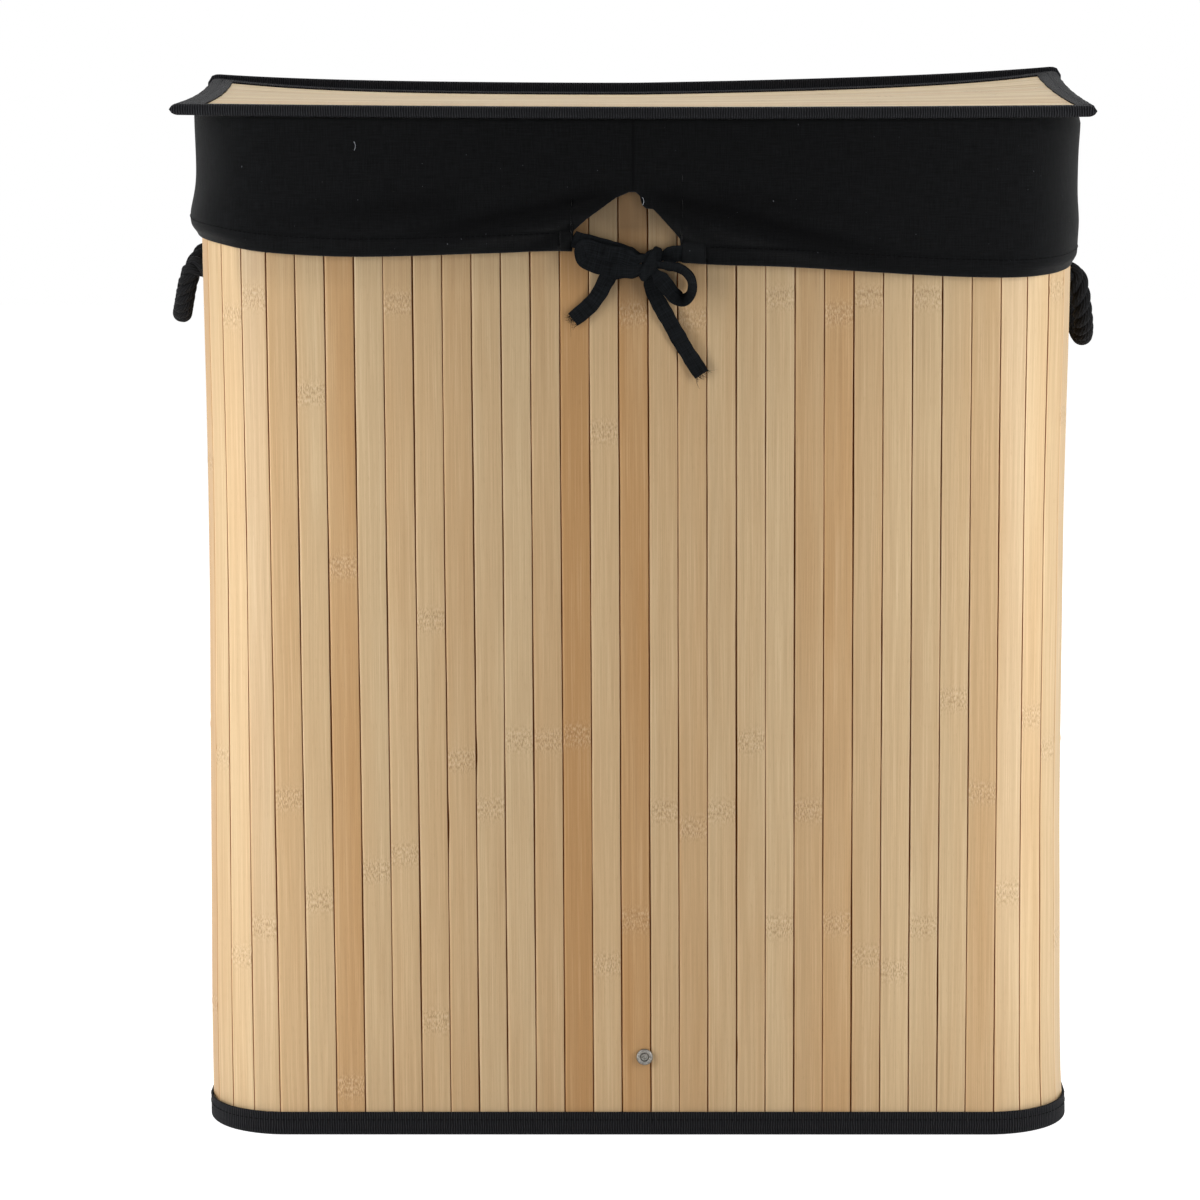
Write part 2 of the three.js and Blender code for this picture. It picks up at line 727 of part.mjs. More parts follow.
const leftStrandRoute = [
  [-33.6, 13.2, 3.7], [-22, 11.6, 3.5], [-12, 8.8, 3.1], [-3, 5.6, 2.9], [7, 2.4, 2.8],
];
const rightStrandRoute = [[41.7, 7.5, 3.7], [34, 6, 3.4], [27, 4, 3], [20, 2.4, 2.8], [13, 1.4, 2.8]];
const leftLoopRoute = [
  [6.5, 4.2, 5.2], [0.6, 5.4, 6.1], [-6, 7.4, 6.4], [-17, 10.6, 6.2], [-27, 11.4, 6],
  [-31.6, 6, 6], [-27, -0.2, 6], [-17, -2.4, 6.2], [-6, -3.2, 6.4], [0.6, -3.4, 6.1], [6.5, -3.4, 5.2],
];
const rightLoopRoute = [
  [14.5, 2.6, 5.2], [19, 1.6, 5.8], [25, -1.4, 5.6], [31, -6, 5.2], [35.4, -13, 5], [34, -20.4, 5],
  [27.6, -22.6, 5.2], [21, -17.6, 5.6], [16.4, -10, 5.6], [13.5, -4.6, 4.8],
];
const leftTailRoute = [
  [8, -4.9, 1.7], [1, -7.9, 1.2], [-6, -9.8, 1], [-14, -13, 1], [-24, -22, 1], [-33, -32, 1],
];
const rightTailRoute = [
  [11, -3, 3.8], [9.5, -11.4, 3.4], [11, -20, 2.3], [17, -33, 1.4], [27, -50, 1.2], [39, -66, 1.2],
];

place('bow_knot', knotForm(0), drawstring);
place('left_tie_strand', ribbon(leftStrandRoute, ribbonWidth), drawstring);
place('right_tie_strand', ribbon(rightStrandRoute, ribbonWidth), drawstring);
place('left_bow_loop', ribbon(leftLoopRoute, loopRibbonWidth), drawstring);
place('right_bow_loop', ribbon(rightLoopRoute, loopRibbonWidth), drawstring);
place('left_tie_tail', ribbon(leftTailRoute, ribbonWidth), drawstring);
place('right_tie_tail', ribbon(rightTailRoute, ribbonWidth), drawstring);

// Lid: slats from left to right on a lining, bound on all four sides with folded tape

const lid = new THREE.Group();
hamper.add(lid);
const lidFront = -halfDepth - lidReach;
const lidBack = halfDepth + lidReach - 2 * hingeThick - hingeSlack - seam;
const panelFront = lidFront + lidTapeThick + seam;
const panelBack = lidBack - lidTapeThick - seam;
const panelHalfWidth = lidHalfWidth - lidTapeThick - seam;
const panelBottom = lidBottom + lidTapeThick + seam;
const panelTop = panelBottom + lidLiningThick + lidSlatThick;

function lidPanelProfile() {
  const pitch = (panelBack - panelFront) / lidSlats;
  const slatBottom = panelBottom + lidLiningThick;
  const points = [[panelFront, panelBottom]];
  for (let k = 0; k < lidSlats; k++) {
    const [left, right] = [panelFront + k * pitch + slatGap / 2, panelFront + (k + 1) * pitch - slatGap / 2];
    points.push([left, slatBottom], [left, panelTop - slatBevel], [left + slatBevel, panelTop]);
    points.push([right - slatBevel, panelTop], [right, panelTop - slatBevel], [right, slatBottom]);
  }
  points.splice(1, 0, [panelFront, slatBottom]);
  points.push([panelBack, slatBottom], [panelBack, panelBottom]);
  return points.reverse();
}

place('lid_slat_panel', alongX(lidPanelProfile(), -panelHalfWidth, panelHalfWidth), bamboo, lid);

// A tape's outside, rounded along its outer edges, between an outer edge and an inner edge.
function tapeProfile(outer, inner) {
  const inward = Math.sign(inner - outer);
  const round = inward * lidTapeRound;
  const points = [
    [inner, lidBottom],
    [inner, lidTop],
    [outer + round, lidTop],
    [outer + round / 3, lidTop - lidTapeRound / 3],
    [outer, lidTop - lidTapeRound],
    [outer, lidBottom + lidTapeRound],
    [outer + round / 3, lidBottom + lidTapeRound / 3],
    [outer + round, lidBottom],
  ];
  return inward > 0 ? points : points.reverse();
}

const pocket = box(
  [-panelHalfWidth - seam, panelFront - seam, panelBottom - seam],
  [panelHalfWidth + seam, panelBack + seam, panelTop + seam],
);
const frontEdge = lidFront + lidTapeWidth;
const backEdge = lidBack - lidTapeWidth;
[
  ['lid_front_binding', lidFront, frontEdge],
  ['lid_back_binding', lidBack, backEdge],
].forEach(([name, outer, inner]) => {
  place(name, cut(alongX(tapeProfile(outer, inner), -lidHalfWidth, lidHalfWidth), pocket), tape, lid);
});
[['lid_left_binding', -1], ['lid_right_binding', 1]].forEach(([name, hand]) => {
  const profile = tapeProfile(hand * lidHalfWidth, hand * (lidHalfWidth - lidTapeWidth));
  const bar = extruded(profile, backEdge - frontEdge - 2 * seam);
  place(name, cut(bar.rotateX(Math.PI / 2).translate(0, backEdge - seam, 0), pocket), tape, lid);
});

// Cloth hinge: the lid's leaf and the hamper's leaf meet along the fold line, level with its axis

function hingeLeafOutline(bottom, top) {
  const round = Math.min(hingeRound, (top - bottom) / 2);
  const arc = [0, ...evenShares(3), 1].map((share) => share * Math.PI / 2);
  const [x, z] = [hingeHalfWidth - round, top - round];
  const right = arc.map((angle) => [x + round * Math.cos(angle), z + round * Math.sin(angle)]);
  const left = right.map(([px, pz]) => [-px, pz]).reverse();
  return [[hingeHalfWidth, bottom], ...right, ...left, [-hingeHalfWidth, bottom]];
}

function standingLeaf(bottom, top, front) {
  const leaf = extruded(hingeLeafOutline(bottom, top), hingeThick);
  return leaf.rotateX(Math.PI / 2).translate(0, front + hingeThick, 0);
}

const lidLeafFront = lidBack + seam;
const bodyLeafFront = lidLeafFront + hingeThick + hingeSlack;
const bodyLeafBack = bodyLeafFront + hingeThick;
place('lid_hinge_leaf', standingLeaf(lidBottom + seam, hingeLine, lidLeafFront), tape, lid);

const sewnFace = halfDepth + rimTapeOut + seam + cuffThick + seam;
const sewnTop = lidBottom - hingeBend;
const bodyLeafProfile = [
  [sewnFace, sewnTop - hingeSewn], [sewnFace + hingeThick, sewnTop - hingeSewn],
  [sewnFace + hingeThick, sewnTop], [bodyLeafBack, lidBottom],
  [bodyLeafBack, hingeLine - hingeTopClearance], [bodyLeafFront, hingeLine - hingeTopClearance],
  [bodyLeafFront, lidBottom], [sewnFace, sewnTop],
];
place('body_hinge_leaf', alongX(bodyLeafProfile, -halfFrontFlat, halfFrontFlat), tape);

export default hamper;
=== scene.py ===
"""Looks of a laundry hamper with two bins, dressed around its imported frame.

The hamper is a curtain of upright bamboo slats on a backing cloth, bound with ribbed tape, with a
cotton liner turned out over its rim, a drawstring bow, rope handles and a slatted lid on a cloth
hinge. Everything is in metres, in the frame's own axes: the front faces -Y and +Z is up.
"""

import json
import logging
import math
from dataclasses import dataclass, field
from enum import Enum

import bpy
import numpy as np
from mathutils import Matrix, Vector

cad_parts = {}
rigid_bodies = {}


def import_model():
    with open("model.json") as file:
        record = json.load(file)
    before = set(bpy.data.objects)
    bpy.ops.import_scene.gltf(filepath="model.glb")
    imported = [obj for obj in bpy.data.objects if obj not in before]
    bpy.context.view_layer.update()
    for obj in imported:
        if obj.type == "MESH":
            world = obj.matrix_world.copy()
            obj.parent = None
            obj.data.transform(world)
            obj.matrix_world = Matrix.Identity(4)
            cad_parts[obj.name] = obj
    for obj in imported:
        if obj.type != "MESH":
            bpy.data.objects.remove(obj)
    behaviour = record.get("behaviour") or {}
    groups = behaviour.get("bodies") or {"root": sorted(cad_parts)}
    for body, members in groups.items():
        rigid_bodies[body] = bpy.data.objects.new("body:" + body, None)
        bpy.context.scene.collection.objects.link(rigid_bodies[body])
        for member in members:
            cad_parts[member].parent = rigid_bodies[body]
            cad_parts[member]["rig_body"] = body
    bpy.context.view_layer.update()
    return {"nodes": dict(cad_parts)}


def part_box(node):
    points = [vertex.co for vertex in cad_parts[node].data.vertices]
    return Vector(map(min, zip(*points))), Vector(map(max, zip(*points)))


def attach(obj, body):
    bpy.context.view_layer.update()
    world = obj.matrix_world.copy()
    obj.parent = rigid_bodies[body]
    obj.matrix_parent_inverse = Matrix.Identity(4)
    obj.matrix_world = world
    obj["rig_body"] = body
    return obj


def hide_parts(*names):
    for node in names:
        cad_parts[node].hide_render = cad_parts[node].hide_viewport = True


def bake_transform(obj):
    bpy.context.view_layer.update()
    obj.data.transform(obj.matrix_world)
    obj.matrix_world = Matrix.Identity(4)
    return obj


Array = np.ndarray
Piece = bpy.types.Object
Socket = bpy.types.NodeSocket

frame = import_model()

log = logging.getLogger("hamper")

MM = 0.001
SEAM = 0.3 * MM
SEED = 41


class Body(Enum):
    """The frame's bodies, on which the pieces ride."""

    HAMPER = "hamper"
    LID = "lid"
    LEFT_HANDLE = "left_handle"
    RIGHT_HANDLE = "right_handle"


class Slot(Enum):
    """The record's material slots."""

    BAMBOO = "bamboo"
    TAPE = "binding_tape"
    COTTON = "cotton_cloth"
    STRING = "drawstring"
    ROPE = "rope"
    STEEL = "steel"
    BOARD = "hardboard"


class Hand(Enum):
    """A side of the hamper, seen from the front."""

    LEFT = -1
    RIGHT = 1


# Curves and numbers


def smooth(x: Array, low: float, high: float) -> Array:
    """The smooth step 3t^2 - 2t^3 of t, which goes from 0 at low to 1 at high."""
    t = np.clip((x - low) / (high - low), 0, 1)
    return t * t * (3 - 2 * t)


def bump(x: Array, centre: float, width: float) -> Array:
    """The bell exp(-((x - centre) / width)^2)."""
    return np.exp(-(((x - centre) / width) ** 2))


def within(x: Array, rise: tuple[float, float], fall: tuple[float, float]) -> Array:
    """One between two places: the smooth step over rise, times one less that over fall."""
    return smooth(x, *rise) * (1 - smooth(x, *fall))


def spline(points: Array, at: Array) -> Array:
    """A smooth curve through points, with steps as the square roots of its chords.

    Between two points it is the cubic whose slopes are the curve's central differences.

    Args:
        points: the points it goes through, one a row, with other values after the third that follow.
        at: shares of the whole, from 0 to 1.

    Returns:
        The curve's points at those shares.
    """
    chords = np.sqrt(np.linalg.norm(np.diff(points[:, :3], axis=0), axis=1))
    knots = np.concatenate([[0], np.cumsum(chords)])
    slopes = np.gradient(points, knots, axis=0)
    t = at * knots[-1]
    k = np.clip(np.searchsorted(knots, t, side="right") - 1, 0, len(knots) - 2)
    span = (knots[k + 1] - knots[k])[:, None]
    f = (t[:, None] - knots[k][:, None]) / span
    start = (1 + 2 * f) * (1 - f) ** 2 * points[k] + f * (1 - f) ** 2 * span * slopes[k]
    end = f * f * (3 - 2 * f) * points[k + 1] - f * f * (1 - f) * span * slopes[k + 1]
    return start + end


def travelled(path: Array) -> Array:
    """The length of a path up to each of its points."""
    return np.concatenate([[0], np.cumsum(np.linalg.norm(np.diff(path, axis=0), axis=1))])


def even_path(points: Array, step: float) -> Array:
    """The spline through points, measured off in even steps, with what the points carry.

    Args:
        points: the points, as spline takes them.
        step: the distance between two points of the path.

    Returns:
        The path's points, one a row.
    """
    fine = spline(np.asarray(points, float), np.linspace(0, 1, 60 * len(points)))
    run = travelled(fine[:, :3])
    at = np.linspace(0, run[-1], max(3, round(run[-1] / step)))
    return np.stack([np.interp(at, run, column) for column in fine.T], 1)


def join(*parts: Array) -> Array:
    """The parts, spread over each other's axes, side by side in a last axis."""
    return np.stack(np.broadcast_arrays(*parts), -1)


def unit(vectors: Array) -> Array:
    """The vectors at length one."""
    return vectors / np.maximum(np.linalg.norm(vectors, axis=-1, keepdims=True), 1e-12)


def frames(path: Array, facing: Array, carried: bool = False) -> tuple[Array, Array]:
    """Two directions square to a path at each of its points.

    The first is facing less its part along the path. Where they are carried, the turn that the
    first makes about the path is summed and taken out again, so that they don't spin.

    Args:
        path: the points, one a row.
        facing: the direction that the first one keeps towards.
        carried: whether to take the turn out.

    Returns:
        The first and the second direction, one row a point.
    """
    tangent = unit(np.gradient(path, axis=0))
    first = unit(facing - (tangent @ facing)[:, None] * tangent)
    second = np.cross(tangent, first)
    if not carried:
        return first, second
    turn = np.concatenate([[0], np.cumsum((np.diff(first, axis=0) * second[:-1]).sum(1))])
    cos, sin = np.cos(turn)[:, None], np.sin(turn)[:, None]
    return cos * first - sin * second, sin * first + cos * second


def carry(path: Array, first: Array, second: Array, profile: Array) -> Array:
    """A profile carried along a path: path + a * first + b * second for its points (a, b).

    Args:
        path: the points, one a row.
        first: the direction of a at each point.
        second: the direction of b at each point.
        profile: points (a, b), the same for the whole path or one set for each of its points.

    Returns:
        A grid of points [along the path, round the profile].
    """
    profile = np.broadcast_to(profile, (len(path), *profile.shape[-2:]))
    across = profile[..., 0, None] * first[:, None] + profile[..., 1, None] * second[:, None]
    return path[:, None] + across


def strip_loop(line: Array, thick: float) -> Array:
    """The outline of a strip: its middle moved by half the thickness to each side.

    Args:
        line: the strip's middle, as points (a, b) of a plane.
        thick: its thickness.

    Returns:
        The closed outline's points.
    """
    along = unit(np.gradient(line, axis=0))
    out = np.stack([-along[:, 1], along[:, 0]], 1) * thick / 2
    return np.concatenate([line + out, (line - out)[::-1]])


def rounded_edge(bevel: float, thick: float) -> tuple[Array, Array]:
    """A slat's left edge: how far in from it each point lies, and how deep, down to its back."""
    return np.array([0, 0, 0.12, 0.45, 1.0]) * bevel, np.array([thick / bevel, 1.1, 0.45, 0.12, 0]) * bevel


def ring(count: int, radius: float = 1.0) -> Array:
    """Points round a circle."""
    a = np.arange(count) * 2 * math.pi / count
    return radius * np.stack([np.cos(a), np.sin(a)], 1)


# Meshes


@dataclass
class Shell:
    """A mesh put together from grids of points.

    Attributes:
        name: the piece's name.
        points: the grids' points, one array a grid.
        loops: each face's corners, as numbers of points, one after another.
        sizes: how many corners each face has.
        uvs: the place of each corner on the UV map, in metres.
        marks: values that each point carries, by name, for the materials.
    """

    name: str
    points: list[Array] = field(default_factory=list)
    loops: list[Array] = field(default_factory=list)
    sizes: list[Array] = field(default_factory=list)
    uvs: list[Array] = field(default_factory=list)
    marks: dict[str, list[Array]] = field(default_factory=dict)

    def grid(
        self,
        points: Array,
        wrap: tuple[bool, bool] = (False, True),
        caps: bool = False,
        uv: Array | None = None,
        marks: dict[str, Array] | None = None,
    ) -> None:
        """Adds a grid, or many alike, with a square of faces between each two rows and columns.

        Args:
            points: the places [copy, row, column] or [row, column].
            wrap: whether the rows, and the columns, close on themselves.
            caps: whether the first and the last row are closed with a face each.
            uv: the map's places, with one more row or column where the grid closes. Without it the
                map follows the lengths of the middle column and the middle row.
            marks: values [copy, row, column] by name.
        """
        points = points if points.ndim == 4 else points[None]
        copies, rows, cols = points.shape[:3]
        if uv is None:
            uv = self.lengths(points, wrap)
        uv = np.broadcast_to(uv, (copies, rows + wrap[0], cols + wrap[1], 2))
        base = sum(map(len, self.points)) + np.arange(copies)[:, None, None] * rows * cols
        i, j = np.mgrid[: rows - (not wrap[0]), : cols - (not wrap[1])]
        corners = [(i, j), (i + 1, j), (i + 1, j + 1), (i, j + 1)]
        quads = np.stack([base + (a % rows) * cols + b % cols for a, b in corners], -1)
        self.loops.append(quads.reshape(-1))
        self.sizes.append(np.full(quads.size // 4, 4))
        self.uvs.append(np.stack([uv[:, a, b] for a, b in corners], -2).reshape(-1, 2))
        if caps:
            first = base[:, 0] + np.arange(cols)
            last = base[:, 0] + (rows - 1) * cols + np.arange(cols)[::-1]
            for loop, row in ((first, uv[:, 0, :cols]), (last, uv[:, -1, :cols][:, ::-1])):
                self.loops.append(loop.reshape(-1))
                self.sizes.append(np.full(copies, cols))
                self.uvs.append(row.reshape(-1, 2))
        self.points.append(points.reshape(-1, 3))
        for key, value in (marks or {}).items():
            self.marks.setdefault(key, []).append(np.broadcast_to(value, points.shape[:3]).reshape(-1))

    @staticmethod
    def lengths(points: Array, wrap: tuple[bool, bool]) -> Array:
        """A map whose u is the length along the middle column, and v along the middle row.

        Args:
            points: the places [copy, row, column].
            wrap: whether the rows, and the columns, close on themselves.

        Returns:
            The map's places [copy, row, column].
        """
        _, rows, cols = points.shape[:3]
        runs = []
        for line, closes in zip((points[:, :, cols // 2], points[:, rows // 2]), wrap):
            line = np.concatenate([line, line[:, :1]], 1) if closes else line
            runs.append(np.cumsum(np.linalg.norm(np.diff(line, axis=1, prepend=line[:, :1]), axis=2), 1))
        return join(runs[0][:, :, None], runs[1][:, None])

    def build(
        self,
        body: Body,
        slot: Slot,
        finish: "Finish",
        replaces: tuple[str, ...] = (),
        sharp: float = 40,
        closed: bool = True,
    ) -> Piece:
        """Makes the piece, with its faces pointing outwards, and hangs it on its body.

        Args:
            body: the body it rides on.
            slot: the record's slot that its finish comes from; not used.
            finish: its finish.
            replaces: the frame's nodes that it stands for.
            sharp: the angle in degrees over which an edge stays sharp.
            closed: whether its faces close, so that their volume tells outside from inside.

        Returns:
            The piece.
        """
        points = np.concatenate(self.points)
        loops, sizes = np.concatenate(self.loops), np.concatenate(self.sizes)
        uvs = np.concatenate(self.uvs)
        starts = np.cumsum(sizes) - sizes
        if closed and self.volume(points, loops, sizes, starts) < 0:
            order = np.repeat(2 * starts + sizes - 1, sizes) - np.arange(len(loops))
            loops, uvs = loops[order], uvs[order]
        mesh = bpy.data.meshes.new(self.name)
        mesh.vertices.add(len(points))
        mesh.vertices.foreach_set("co", points.astype(np.float32).ravel())
        mesh.loops.add(len(loops))
        mesh.loops.foreach_set("vertex_index", loops.astype(np.int32))
        mesh.polygons.add(len(sizes))
        mesh.polygons.foreach_set("loop_start", starts.astype(np.int32))
        mesh.uv_layers.new(name="UVMap").uv.foreach_set("vector", uvs.astype(np.float32).ravel())
        for key, values in self.marks.items():
            attribute = mesh.attributes.new(key, "FLOAT", "POINT")
            attribute.data.foreach_set("value", np.concatenate(values).astype(np.float32))
        mesh.update(calc_edges=True)
        mesh.validate()
        mesh.shade_smooth()
        mesh.set_sharp_from_angle(angle=math.radians(sharp))
        piece = bpy.data.objects.new(self.name, mesh)
        bpy.context.scene.collection.objects.link(piece)
        mesh.materials.append(finish.material())
        if replaces:
            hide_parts(*replaces)
        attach(piece, body.value)
        log.info("%s: %d points, %d faces", self.name, len(points), len(sizes))
        return piece

    @staticmethod
    def volume(points: Array, loops: Array, sizes: Array, starts: Array) -> float:
        """The volume that the faces enclose: the sum of the cones from each face to the origin.

        Args:
            points: the mesh's points.
            loops: each face's corners, one after another.
            sizes: how many corners each face has.
            starts: where each face's corners start.

        Returns:
            The volume, negative where the faces point inwards.
        """
        inner = np.arange(len(loops)) - np.repeat(starts, sizes)
        fan = np.flatnonzero((inner > 0) & (inner < np.repeat(sizes, sizes) - 1))
        a = points[loops[np.repeat(starts, sizes)[fan]]]
        b, c = points[loops[fan]], points[loops[fan + 1]]
        return float((a * np.cross(b, c)).sum() / 6)


def thicken(piece: Piece, thick: float) -> None:
    """Gives a sheet its cloth's thickness, half to each side.

    Args:
        piece: the sheet.
        thick: the thickness.
    """
    solid = piece.modifiers.new("cloth", "SOLIDIFY")
    solid.thickness = thick
    solid.offset = 0
    solid.use_even_offset = True


def unhook(piece: Piece) -> None:
    """Takes a piece off its body again.

    Args:
        piece: the piece.
    """
    piece.parent = None
    piece.matrix_world = Matrix.Identity(4)
    del piece["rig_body"]


def revolve(shell: Shell, profile: Array, centre: Array, axis: Array, sides: int) -> None:
    """Adds a turned form: each (radius, distance) of the profile swept round an axis.

    Args:
        shell: the shell that it goes into.
        profile: (radius, distance along the axis), closed on itself or with both ends on the axis.
        centre: the point from which the distances count.
        axis: the axis' direction.
        sides: how many steps go round.
    """
    side = unit(np.cross(axis, [0.0, 0.0, 1.0]))
    round_it = ring(sides)
    out = round_it[:, :1] * side + round_it[:, 1:] * np.cross(axis, side)
    points = centre + profile[:, :1, None] * out[None] + (profile[:, 1:] * axis)[:, None]
    shell.grid(points, wrap=(bool(profile[0, 0] > 1e-4), True), caps=bool(profile[0, 0] <= 1e-4))


def stitch_row(shell: Shell, path: Array, out: Array, pitch: float, thick: float) -> None:
    """Adds a row of stitches along a path.

    Each is a short thread along a half sine, which dips in and tapers at both its ends.

    Args:
        shell: the shell that they go into.
        path: the row's points.
        out: the direction away from the cloth at each point.
        pitch: the distance between stitches.
        thick: the thread's thickness.
    """
    covered, stands, dips, slim, sides = 0.72, 0.6, 0.25, 0.45, 5
    run = travelled(path)
    share = np.linspace(0, 1, 5)
    arch = np.sin(share * math.pi)
    at = np.arange(pitch / 2, run[-1] - pitch, pitch)[:, None] + share * pitch * covered
    centre, away = (np.stack([np.interp(at, run, x[:, k]) for k in range(3)], -1) for x in (path, out))
    away = unit(away)
    centre = centre + away * (arch * stands - dips)[None, :, None] * thick
    side = np.cross(unit(centre[:, -1:] - centre[:, :1]), away)
    section = ring(sides, thick / 2)
    width = (slim + (1 - slim) * arch)[None, :, None, None]
    body = section[:, :1] * away[:, :, None] + section[:, 1:] * side[:, :, None]
    shell.grid(centre[:, :, None] + width * body, caps=True)


# Shader groups and finishes


def srgb(code: str) -> tuple[float, float, float, float]:
    """A colour written as six hexadecimal digits, as the linear values that shaders use."""
    values = [int(code[k : k + 2], 16) / 255 for k in (0, 2, 4)]
    return (*(v / 12.92 if v <= 0.04045 else ((v + 0.055) / 1.055) ** 2.4 for v in values), 1.0)


class Nodes:
    """A node tree that is written line by line."""

    def __init__(self, tree: bpy.types.NodeTree) -> None:
        """Keeps the tree."""
        self.tree = tree

    def add(self, kind: str, inputs: dict | None = None, **values: object) -> bpy.types.Node:
        """Adds a node.

        Args:
            kind: the node's type.
            inputs: values or sockets for its inputs, by name or number.
            **values: its own properties.

        Returns:
            The node.
        """
        node = self.tree.nodes.new(kind)
        for key, value in values.items():
            setattr(node, key, value)
        self.feed(node, inputs or {})
        return node

    def feed(self, node: bpy.types.Node, inputs: dict) -> None:
        """Links a node's inputs, or sets their values.

        Args:
            node: the node.
            inputs: a socket or a value for each, by name or number.
        """
        for key, value in inputs.items():
            if isinstance(value, Socket):
                self.tree.links.new(value, node.inputs[key])
            else:
                node.inputs[key].default_value = value

    def math(self, operation: str, a: object, b: object = 0.0, c: object = 0.0) -> Socket:
        """A Math node's result."""
        return self.add("ShaderNodeMath", {0: a, 1: b, 2: c}, operation=operation).outputs[0]

    def times(self, a: object, b: object) -> Socket:
        """The product of two values."""
        return self.math("MULTIPLY", a, b)

    def mix(self, share: object, a: object, b: object, blend: str = "MIX") -> Socket:
        """A colour mixed from two."""
        node = self.add("ShaderNodeMix", {0: share, 6: a, 7: b}, data_type="RGBA", blend_type=blend)
        return node.outputs[2]

    def tint(self, color: object, *layers: tuple[object, float, str]) -> Socket:
        """A colour with others laid over it in turn.

        Args:
            color: the colour below.
            *layers: for each layer its mask, its strength and its colour's code.

        Returns:
            The colour's socket.
        """
        for mask, strength, code in layers:
            color = self.mix(self.times(mask, strength), color, srgb(code))
        return color

    def noise(self, vector: object, scale: float, detail: float = 3.0) -> Socket:
        """A noise texture's value."""
        inputs = {"Vector": vector, "Scale": scale, "Detail": detail}
        return self.add("ShaderNodeTexNoise", inputs, noise_dimensions="3D").outputs[0]

    def drawn_out(self, vector: object, by: tuple[float, float, float], detail: float) -> Socket:
        """The noise of a vector whose parts are scaled apart."""
        scaled = self.add("ShaderNodeVectorMath", {0: vector, 1: by}, operation="MULTIPLY")
        return self.noise(scaled.outputs[0], 1.0, detail)

    def mark(self, name: str) -> Socket:
        """The value of a mesh attribute."""
        return self.add("ShaderNodeAttribute", attribute_name=name).outputs["Fac"]

    def ramp(self, value: object, low: float, high: float) -> Socket:
        """The value's share of the way from low to high, held to 0 and 1."""
        inputs = {0: value, 1: low, 2: high, 3: 0.0, 4: 1.0}
        return self.add("ShaderNodeMapRange", inputs, clamp=True).outputs[0]


def make_group(
    name: str, inputs: dict[str, str], outputs: dict[str, str]
) -> tuple[Nodes, bpy.types.Node, bpy.types.Node]:
    """Starts a shader group with named sockets.

    Args:
        name: the group's name.
        inputs: socket types by name.
        outputs: socket types by name.

    Returns:
        The group's tree, its input node and its output node.
    """
    tree = bpy.data.node_groups.new(name, "ShaderNodeTree")
    for in_out, sockets in (("INPUT", inputs), ("OUTPUT", outputs)):
        for key, kind in sockets.items():
            tree.interface.new_socket(key, in_out=in_out, socket_type=f"NodeSocket{kind}")
    nodes = Nodes(tree)
    return nodes, nodes.add("NodeGroupInput"), nodes.add("NodeGroupOutput")


def fibre_group() -> bpy.types.NodeTree:
    """Fibres along v: noise drawn out along it, fine and coarse, and the pores between them.

    Returns:
        The group's tree.
    """
    nodes, start, end = make_group("Fibres", {"Vector": "Vector"}, {"Streak": "Float", "Pore": "Float"})
    grains = ((1900.0, 16.0, 1.0), 4.0), ((420.0, 5.0, 1.0), 2.0), ((3800.0, 130.0, 1.0), 2.0)
    fine, coarse, pore = (nodes.drawn_out(start.outputs[0], *grain) for grain in grains)
    streak = nodes.math("MULTIPLY_ADD", fine, 0.6, nodes.times(coarse, 0.4))
    nodes.feed(end, {"Streak": streak, "Pore": nodes.ramp(pore, 0.62, 0.74)})
    return nodes.tree


def cloth_group() -> bpy.types.NodeTree:
    """Plain weave: sines along u and v that cross, noise drawn out along each, and a little lint.

    Returns:
        The group's tree.
    """
    inputs = {"Vector": "Vector", "Threads per metre": "Float"}
    outputs = dict.fromkeys(("Thread", "Height", "Lint"), "Float")
    nodes, start, end = make_group("Plain weave", inputs, outputs)
    parts = nodes.add("ShaderNodeSeparateXYZ", {0: start.outputs[0]})
    turns = nodes.times(start.outputs[1], 2 * math.pi)
    warp, weft = (nodes.math("SINE", nodes.times(parts.outputs[k], turns)) for k in range(2))
    grains = ((1500.0, 90.0, 1.0), 2.0), ((90.0, 1500.0, 1.0), 2.0), ((620.0, 380.0, 1.0), 1.0)
    along, over, specks = (nodes.drawn_out(start.outputs[0], *grain) for grain in grains)
    slub = nodes.math("MULTIPLY_ADD", along, 0.5, nodes.times(over, 0.5))
    height = nodes.math("MULTIPLY_ADD", nodes.times(warp, weft), 0.25, slub)
    nodes.feed(end, {"Thread": slub, "Height": height, "Lint": nodes.ramp(specks, 0.785, 0.83)})
    return nodes.tree


def rib_group() -> bpy.types.NodeTree:
    """Ribs across a tape, one after another along u, a little uneven.

    Returns:
        The group's tree.
    """
    nodes, start, end = make_group("Ribs", {"Vector": "Vector", "Ribs per metre": "Float"}, {"Rib": "Float"})
    parts = nodes.add("ShaderNodeSeparateXYZ", {0: start.outputs[0]})
    drift = nodes.times(nodes.noise(start.outputs[0], 160.0, 1.0), 0.0012)
    place = nodes.math("ADD", parts.outputs[0], drift)
    turns = nodes.times(place, nodes.times(start.outputs[1], 2 * math.pi))
    nodes.feed(end, {"Rib": nodes.math("MULTIPLY_ADD", nodes.math("SINE", turns), 0.5, 0.5)})
    return nodes.tree


GROUPS = {tree.name: tree for tree in (fibre_group(), cloth_group(), rib_group())}


